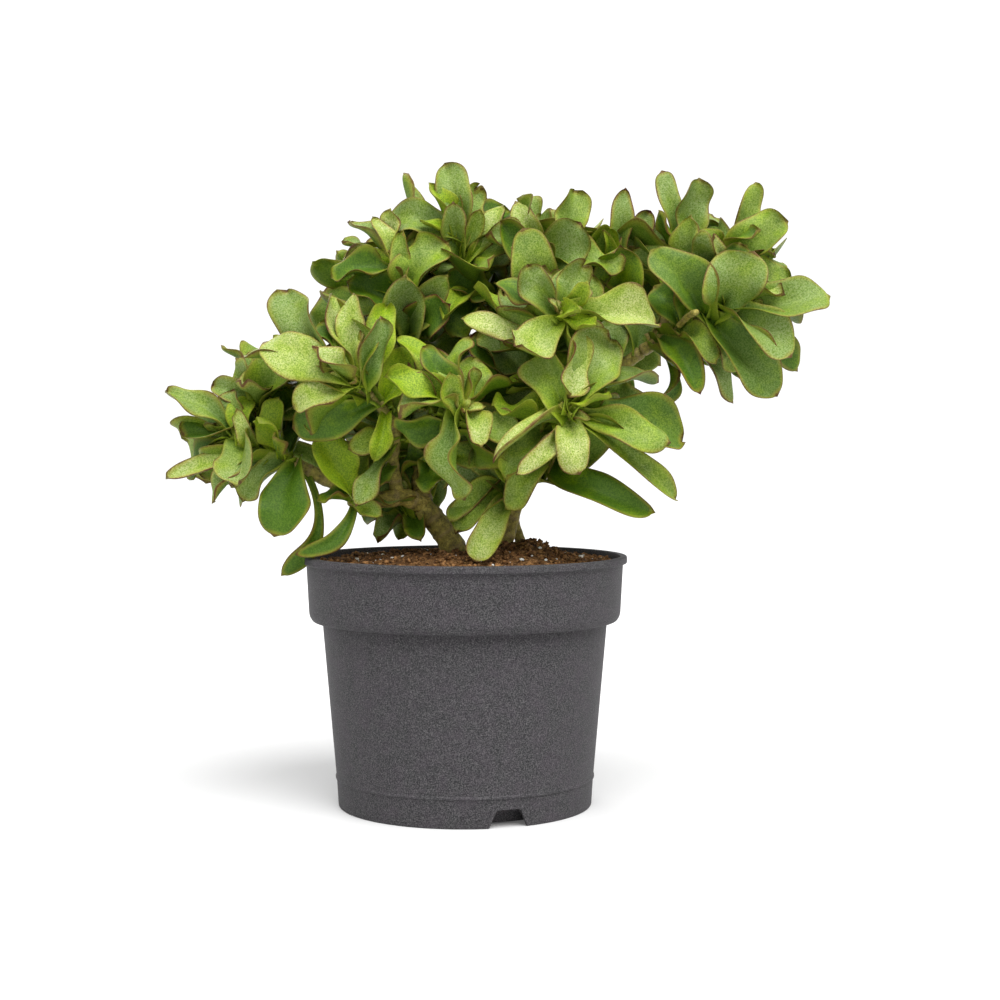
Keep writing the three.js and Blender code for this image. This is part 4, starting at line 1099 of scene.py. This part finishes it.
def leaf_lift(leaf, rng, length):
    """Cupped, folded at the midline, waved at the margins, rolled on one side, and curled at the tip."""
    cup = leaf.get("cup", rng.uniform(-0.02, 0.26))
    fold = leaf.get("fold", rng.uniform(0.1, 0.5))
    wave = leaf.get("wave", rng.uniform(0.12, 0.26))
    ripples = rng.uniform(1.0, 1.9)
    left_phase, right_phase = rng.uniform(0, math.tau), rng.uniform(0, math.tau)
    phase = np.where(ACROSS < 0, left_phase, right_phase)
    body = ease(ALONG / 0.35) * (1.0 - 0.35 * ease((ALONG - 0.85) / 0.15))
    roll = leaf.get("roll", rng.uniform(-0.2, 0.42))
    rolled_side = np.clip(ACROSS * rng.choice((-1, 1)), 0.0, 1.0) ** 2
    rolled_part = np.exp(-(((ALONG - rng.uniform(0.4, 0.8)) / 0.26) ** 2))
    lift = leaf["width"] * (
        cup * EDGE**1.7 * ease(ALONG / 0.3)
        + fold * EDGE * (1 - ALONG)
        + wave * EDGE**1.8 * np.sin(math.tau * ripples * ALONG + phase) * body
        + roll * (rolled_side * rolled_part)
        + 0.03 * np.sin(7.0 * ALONG + 3.0 * ACROSS + left_phase) * body
    )
    curl = leaf.get("curl", rng.uniform(-0.1, 0.2))
    return lift - curl * length * ease((ALONG - 0.5) / 0.5) ** 2


def leaf_half_depth(leaf):
    """Full at the foot, thinner to the tip and the rim, with a shallow groove along the midline."""
    thick = leaf.get("thick", 2.5) * (1.2 - 0.35 * ALONG) * np.sqrt(np.clip(1.0 - ALONG**9, 0.0, 1.0))
    deep = thick / 2 * np.sqrt(np.clip(1.0 - EDGE**3.0, 0.0, 1.0))
    return deep * (1.0 - 0.25 * np.exp(-((ACROSS / 0.12) ** 2)) * ease(ALONG / 0.2) * (1 - ALONG))


sample_width = leaf_half_width({"width": 20.0}, random.Random(1))
print("half width of a 20 mm leaf:", round(float(sample_width.max()), 1), "mm")


# %% The faces that join a leaf's points
def leaf_faces():
    """Faces of the upper and lower skins, which share their outer columns, with a cap and a point."""
    rows, columns = LEAF_ROWS - 1, LEAF_COLUMNS
    low_start = rows * columns

    def top(row, column):
        return row * columns + column

    def low(row, column):
        if column in (0, columns - 1):
            return top(row, column)
        return low_start + row * (columns - 2) + column - 1

    faces = []
    for row in range(rows - 1):
        for column in range(columns - 1):
            here, beside = (row, column), (row, column + 1)
            ahead, across = (row + 1, column), (row + 1, column + 1)
            faces.append((top(*here), top(*beside), top(*across), top(*ahead)))
            faces.append((low(*beside), low(*here), low(*ahead), low(*across)))
    point = low_start + rows * (columns - 2)
    for column in range(columns - 1):
        faces.append((top(rows - 1, column), top(rows - 1, column + 1), point))
        faces.append((low(rows - 1, column + 1), low(rows - 1, column), point))
        faces.append((top(0, column + 1), top(0, column), low(0, column), low(0, column + 1)))
    cleaned = [tuple(dict.fromkeys(face)) for face in faces]
    return [face for face in cleaned if len(face) > 2]


LEAF_FACES = leaf_faces()
print("faces of one leaf:", len(LEAF_FACES))


# %% One whole leaf
POINT_LENGTH = 1.1
LOWER_SKIN = 1.15


def on_both_skins(upper, lower, point):
    """One number for each of the leaf's points: upper skin, inside of the lower skin, then the tip."""
    return np.concatenate([upper[:-1].ravel(), lower[:-1, 1:-1].ravel(), [point]])


def leaf_piece(name, leaf, seed):
    """One leaf as a closed piece, with the numbers that its material reads."""
    rng = random.Random(seed)
    base, tip = leaf["base"], leaf["tip"]
    length = (tip - base).length
    bend = leaf.get("bend", rng.uniform(-0.1, 0.1))
    centre, sideways, upright = leaf_frames(base, tip, leaf["face"], leaf["arch"], leaf["twist"], bend)
    half = leaf_half_width(leaf, rng)
    lift = leaf_lift(leaf, rng, length)
    deep = leaf_half_depth(leaf)[:, :, None]

    out = sideways[:, None, :] * (ACROSS * half)[:, :, None]
    up = upright[:, None, :]
    middle = centre[:, None, :] + out + up * lift[:, :, None]
    upper = middle + up * deep
    lower = middle - up * deep * LOWER_SKIN
    onward = centre[-1] - centre[-2]
    onward = onward / np.linalg.norm(onward) * POINT_LENGTH
    point = centre[-1] + upright[-1] * lift[-1, LEAF_COLUMNS // 2] + onward
    verts = np.concatenate([upper[:-1].reshape(-1, 3), lower[:-1, 1:-1].reshape(-1, 3), [point]])
    piece = new_piece(name, verts, LEAF_FACES, LEAF)

    rim = np.minimum((1 - EDGE) * half, (1 - ALONG) * length * 0.9 + 0 * ACROSS)
    along = ALONG + 0 * ACROSS
    under = np.where(EDGE > 0.999, 0.5, 0.0) + 0 * ALONG
    give(piece, "rim", on_both_skins(rim, rim, 0.0))
    give(piece, "along", on_both_skins(along, along, 1.0))
    give(piece, "under", on_both_skins(under, np.ones_like(under), 0.5))
    tone = leaf.get("tone", rng.uniform(0.0, 1.0))
    flush = leaf.get("flush", rng.uniform(0.35, 1.0))
    wax = leaf.get("wax", rng.uniform(0.25, 0.95))
    for quality, amount in (("tone", tone), ("wax", wax), ("flush", flush)):
        give(piece, quality, np.full(len(verts), amount))
    return piece


print("points of one leaf:", 2 * (LEAF_ROWS - 1) * (LEAF_COLUMNS - 1) + 1)


# %% [markdown]
# ## Shoots and their leaves
# The listed leaves grow from the nearest place on their shoot's stem. Shoots at the back are filled by the
# rule that jade follows: leaves in pairs, each pair a quarter turn from the last, smaller toward the tip.

# %% Leaves placed one by one
LEAF_FULLNESS = 1.1


def nearest_on(stem, x, z):
    """The place on a stem that is nearest to x and z on the front elevation."""
    places = smooth_curve([Vector(point) for point in stem])
    nearest = min(places, key=lambda place: math.hypot(place.x - x, place.y - z))
    return sighted(*nearest)


def listed_leaf(stem, row):
    """One row of the layout as a leaf; unnamed leaves are turned a little by chance."""
    name, (x, z), tip, width, (turn, lift), arch, twist, kind = row
    rng = random.Random(round(tip[0] * 977 + tip[1]))
    loose = 0.0 if name or abs(turn) > 45 else 1.0
    leaf = {
        "name": name,
        "base": nearest_on(stem, x, z),
        "tip": sighted(*tip),
        "width": width * LEAF_FULLNESS,
        "face": facing(turn + loose * rng.uniform(-28, 28), lift + loose * rng.uniform(-20, 25)),
        "arch": arch,
        "twist": twist + (0.4 + 0.6 * loose) * rng.uniform(-28, 28),
    }
    return {**leaf, **kind}


sample = listed_leaf(SHOOTS["right_back"][2], SHOOTS["right_back"][3][2])
print("width of leaf", sample["name"], round(sample["width"], 1), "mm")


# %% Leaves grown by rule
def growing_tip(stem):
    """The end of a stem, its direction there, and a level direction square to it.

    A known fault: no level direction is found for a stem that ends exactly upright, as left_upper does,
    and the four young leaves on that tip come out without valid points.
    """
    points = [sighted(*point) for point in stem]
    end = points[-1]
    along = (end - points[-2]).normalized()
    return end, along, Vector((0, 0, 1)).cross(along).normalized()


def paired_leaves(stem, pairs, length):
    """Crossed pairs of leaves round a tip, the upper ones steeper and shorter."""
    end, along, level = growing_tip(stem)
    leaves = []
    for pair in range(pairs):
        for half in (0, 180):
            angle = math.radians(half + pair * 90 + pair * 11 + 20)
            outward = Matrix.Rotation(angle, 3, along) @ level
            spread = math.radians(72 - pair * 17)
            heading = along * math.cos(spread) + outward * math.sin(spread)
            reach = length * (1 - pair * 0.14)
            base = end + along * ((pair - pairs + 0.7) * 5)
            leaves.append({
                "name": "",
                "base": base,
                "tip": base + heading * reach,
                "width": reach * 0.48,
                "face": (along - outward * 0.3).normalized(),
                "arch": 0.08,
                "twist": 0,
            })
    return leaves


def young_leaves(stem, size, seed):
    """The four small bright leaves that close a growing tip."""
    rng = random.Random(seed)
    end, along, level = growing_tip(stem)
    leaves = []
    for index in range(4):
        angle = math.radians(65 + index * 90 + rng.uniform(-15, 15))
        outward = Matrix.Rotation(angle, 3, along) @ level
        spread = math.radians(18 + 14 * (index % 2) + rng.uniform(0, 10))
        reach = size * (0.75 + 0.25 * (index % 2))
        leaves.append({
            "name": "",
            "base": end - along * 1.5,
            "tip": end + (along * math.cos(spread) + outward * math.sin(spread)) * reach,
            "width": reach * 0.42,
            "face": (along - outward * 0.4).normalized(),
            "arch": 0.05,
            "twist": 0,
            "tone": 0.0,
            "cup": 0.18,
        })
    return leaves


sample = paired_leaves(*BACK_SHOOTS["back_crown"])
print("widths of the back crown's pairs:", [round(leaf["width"], 1) for leaf in sample])


# %% [markdown]
# ### Older leaves further down the stems
# Behind each rosette the stem still carries leaves that are two or three years old. They stand out at all
# angles in a spiral, reach for the light as far as the crown's outline, and fill the plant's dark inside.
# The crown is described by a few rounded masses, each a middle and a half-width and half-height.

# %% The crown's outline
CROWN_FILL = 0.72
CROWN_MASSES = [
    (-121, 190, 35, 35),
    (-72, 226, 37, 40),
    (-34, 284, 34, 38),
    (20, 289, 44, 40),
    (80, 284, 26, 32),
    (143, 264, 45, 52),
    (28, 226, 62, 46),
    (-12, 182, 52, 30),
    (66, 196, 42, 34),
]


def seen_place(point):
    """Where a point appears from the front, on the upright plane through the pot's axis."""
    nearer = -EYE.y / (point.y - POT_Y - EYE.y)
    return EYE.x + (point.x - POT_X - EYE.x) * nearer, EYE.z + (point.z - EYE.z) * nearer


def in_crown(point):
    """Whether a point is seen well inside one of the crown's masses."""
    x, z = seen_place(point)
    return any(((x - mx) / rx) ** 2 + ((z - mz) / rz) ** 2 < CROWN_FILL for mx, mz, rx, rz in CROWN_MASSES)


tip_of_crown = sighted(*WOOD["branch_crown"][2][-1])
print("the crown's branch ends inside the outline:", in_crown(tip_of_crown))


# %% Older leaves
REACHES = ((30, 41), (25, 31), (18, 24))
LOWEST_TIP = POT_HEIGHT + 6.0


def older_leaves(stem, count, seed, first=0.3, frontmost=-0.3):
    """Leaves in a spiral along a stem; each tries three lengths and is left out if none stays inside."""
    rng = random.Random(seed)
    places = smooth_curve([sighted(*point) for point in stem])
    tangents, _ = carried_frames(places)
    light = Vector((0.0, 0.6 if places[-1].y > POT_Y + 35 else -0.9, 0.75))
    leaves = []
    for index in range(count):
        spot = round((first + (1 - first) * (index + 0.5) / count) * (len(places) - 1))
        place, tangent = places[spot], tangents[spot]
        level = tangent.orthogonal().normalized()
        outward = Matrix.Rotation(index * 2.4 + rng.uniform(-0.4, 0.4), 3, tangent) @ level
        spread = math.radians(rng.uniform(50, 88))
        heading = tangent * math.cos(spread) + outward * math.sin(spread)
        if heading.y < frontmost:
            heading.y = -heading.y
        heading = (heading + Vector((0, 0, rng.uniform(0.0, 0.35)))).normalized()
        for reach in [rng.uniform(*span) for span in REACHES]:
            tip = place + heading * reach
            if in_crown(tip) and tip.z > LOWEST_TIP:
                break
        else:
            continue
        leaves.append({
            "name": "",
            "base": place.copy(),
            "tip": tip,
            "width": reach * rng.uniform(0.5, 0.68),
            "face": (light + Vector([rng.uniform(-0.6, 0.6) for _ in range(3)])).normalized(),
            "arch": rng.uniform(-0.02, 0.14),
            "twist": rng.uniform(-35, 35),
            **rng.choice(AGEING),
        })
    return leaves


print("older leaves on the crown's branch:", len(older_leaves(WOOD["branch_crown"][2], 13, 701, 0.3, -0.5)))


# %% [markdown]
# ### Grow the plant
# Every shoot now gets its stem and its leaves. Each leaf is drawn in place of the plain solid of its name
# in the frame, which is hidden, or of its shoot's solid if it has no name of its own. The seeds are
# counted up from the shoot's number, so that the same plant grows every time.

# %% Shoots in front
SHOOT_RING_GAP = 8.0
BARE_TIPS = ("low_left", "low_centre", "low_front")


def shoot_stem(shoot, stem, start_radius, end_radius, youth, seed):
    """A green stem in place of the frame's solid for the same shoot."""
    green = stem_piece(f"shoot_{shoot}_stem", stem, start_radius, end_radius, youth, SHOOT_RING_GAP, seed)
    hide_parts(f"shoot_{shoot}")


leaf_total = 0
for number, (shoot, (start_radius, end_radius, stem, rows)) in enumerate(SHOOTS.items()):
    shoot_stem(shoot, stem, start_radius, end_radius, (0.3, 1.0), number + 5)
    leaves = [listed_leaf(stem, row) for row in rows]
    if shoot not in BARE_TIPS:
        leaves += young_leaves(stem, 13, number)
    leaves += older_leaves(stem, 16, number + 900)
    for index, leaf in enumerate(leaves):
        label = leaf["name"] or f"{shoot}_{index + 1:02d}"
        piece = leaf_piece(f"leaf_{label}_blade", leaf, number * 100 + index)
        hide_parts(f"leaf_{label}" if leaf["name"] else f"shoot_{shoot}")
    leaf_total += len(leaves)
print("leaves in front:", leaf_total)


# %% Shoots at the back and leafy branches
LEAFY_BRANCHES = ("branch_crown_left", "branch_crown", "branch_far_right")


def grow_leaves(owner, leaves, node, first_seed):
    """Leaves numbered along their owner, all in place of the same solid of the frame."""
    for index, leaf in enumerate(leaves):
        piece = leaf_piece(f"leaf_{owner}_{index + 1:02d}_blade", leaf, first_seed + index)
        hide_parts(node)
    return len(leaves)


for number, (shoot, (stem, pairs, length)) in enumerate(BACK_SHOOTS.items()):
    shoot_stem(shoot, stem, 2.6, 1.8, (0.2, 1.0), number + 31)
    leaves = paired_leaves(stem, pairs, length) + young_leaves(stem, 12, number + 50)
    leaves += older_leaves(stem, 12, number + 950, frontmost=-0.9)
    leaf_total += grow_leaves(shoot, leaves, f"shoot_{shoot}", 5000 + number * 100)

for number, branch in enumerate(LEAFY_BRANCHES):
    leaves = older_leaves(WOOD[branch][2], 13, number + 700, 0.3, -0.5)
    leaf_total += grow_leaves(branch, leaves, branch, 9000 + number * 100)
print("leaves:", leaf_total)


# %% [markdown]
# ## Floor and light
# The plant stands on a plain white floor in a white room. Most of the light is a wide, distant soft lamp
# high in front and to the right; a floor this large needs a lamp that is equally strong all over. A faint
# lamp at the left and a stronger one behind lift the edges. The room that the camera sees is a little
# brighter than the room that lights the plant, so that the wall stays white.

# %% Floor
def plain_floor():
    """A large matt sheet that glows faintly, so that it reads as white paper."""
    mesh = bpy.data.meshes.new("floor")
    mesh.from_pydata([(-6, -6, 0), (6, -6, 0), (6, 6, 0), (-6, 6, 0)], [], [(0, 1, 2, 3)])
    floor = bpy.data.objects.new("floor", mesh)
    made = Finish("floor")
    made.set("Base Color", (0.6, 0.6, 0.6, 1.0))
    made.set("Emission Color", (1.0, 1.0, 1.0, 1.0))
    made.set("Emission Strength", 0.07)
    made.set("Roughness", 1.0)
    made.set("Specular IOR Level", 0.0)
    mesh.materials.append(made.material)
    bpy.context.scene.collection.objects.link(floor)
    return floor


floor = plain_floor()
print("floor points:", len(floor.data.vertices))


# %% Lamps
def hang_lamp(data):
    """Puts a lamp in the scene."""
    lamp = bpy.data.objects.new(data.name, data)
    bpy.context.scene.collection.objects.link(lamp)
    return lamp


def soft_light(name, place, target, size, power):
    """A round soft lamp that looks at a target."""
    data = bpy.data.lights.new(name, "AREA")
    data.shape = "DISK"
    data.size = size
    data.energy = power
    lamp = hang_lamp(data)
    lamp.location = place
    lamp.rotation_euler = (Vector(target) - Vector(place)).to_track_quat("-Z", "Y").to_euler()


def sky_light(strength, width, height_angle, side_angle):
    """A distant soft lamp, as wide as the given angle, so that the floor is lit evenly to its far edge."""
    data = bpy.data.lights.new("sky_light", "SUN")
    data.energy = strength
    data.angle = math.radians(width)
    lamp = hang_lamp(data)
    lamp.rotation_euler = (math.radians(90 - height_angle), 0.0, math.radians(side_angle))


PLANT_MIDDLE = (POT_X * MM, POT_Y * MM, 0.22)
sky_light(3.9, 50, 58, 24)
soft_light("left_light", (-1.1, -0.5, 1.3), PLANT_MIDDLE, 0.7, 1.5)
soft_light("back_light", (-0.5, 1.3, 1.2), PLANT_MIDDLE, 0.9, 9.0)


# %% The white room
PURE_WHITE = (1.0, 1.0, 1.0, 1.0)


def white_room(lighting, seen_brightness):
    """A white surrounding that lights the plant with one strength and is seen with another."""
    world = bpy.data.worlds.new("white_room")
    world.use_nodes = True
    nodes, links = world.node_tree.nodes, world.node_tree.links
    lit = nodes["Background"]
    lit.inputs["Strength"].default_value = lighting
    lit.inputs["Color"].default_value = PURE_WHITE
    seen = nodes.new("ShaderNodeBackground")
    seen.inputs["Color"].default_value = PURE_WHITE
    seen.inputs["Strength"].default_value = seen_brightness
    paths = nodes.new("ShaderNodeLightPath")
    choose = nodes.new("ShaderNodeMixShader")
    links.new(paths.outputs["Is Camera Ray"], choose.inputs[0])
    links.new(lit.outputs[0], choose.inputs[1])
    links.new(seen.outputs[0], choose.inputs[2])
    links.new(choose.outputs[0], nodes["World Output"].inputs["Surface"])
    bpy.context.scene.world = world


white_room(0.85, 1.1)
print("room:", bpy.context.scene.world.name)

# %% [markdown]
# ## Camera
# The camera stands where the eye of the front elevation is, so every leaf is seen in its own place. It
# looks down by a couple of degrees, and its lens takes in the whole plant with a margin.

# %% Camera
CAMERA_LENS = 65.7
CAMERA_SENSOR = 36.0
LOOKS_DOWN = 2.17

camera_data = bpy.data.cameras.new("camera")
camera_data.sensor_width = CAMERA_SENSOR
camera_data.lens = CAMERA_LENS
camera_data.dof.use_dof = False
camera = bpy.data.objects.new("camera", camera_data)
camera.location = ((POT_X + EYE.x) * MM, (POT_Y + EYE.y) * MM, EYE.z * MM)
camera.rotation_euler = (math.radians(90.0 - LOOKS_DOWN), 0.0, 0.0)
bpy.context.scene.collection.objects.link(camera)
bpy.context.scene.camera = camera
bpy.context.scene.view_settings.view_transform = "Standard"
print("camera at", [round(v, 3) for v in camera.location])
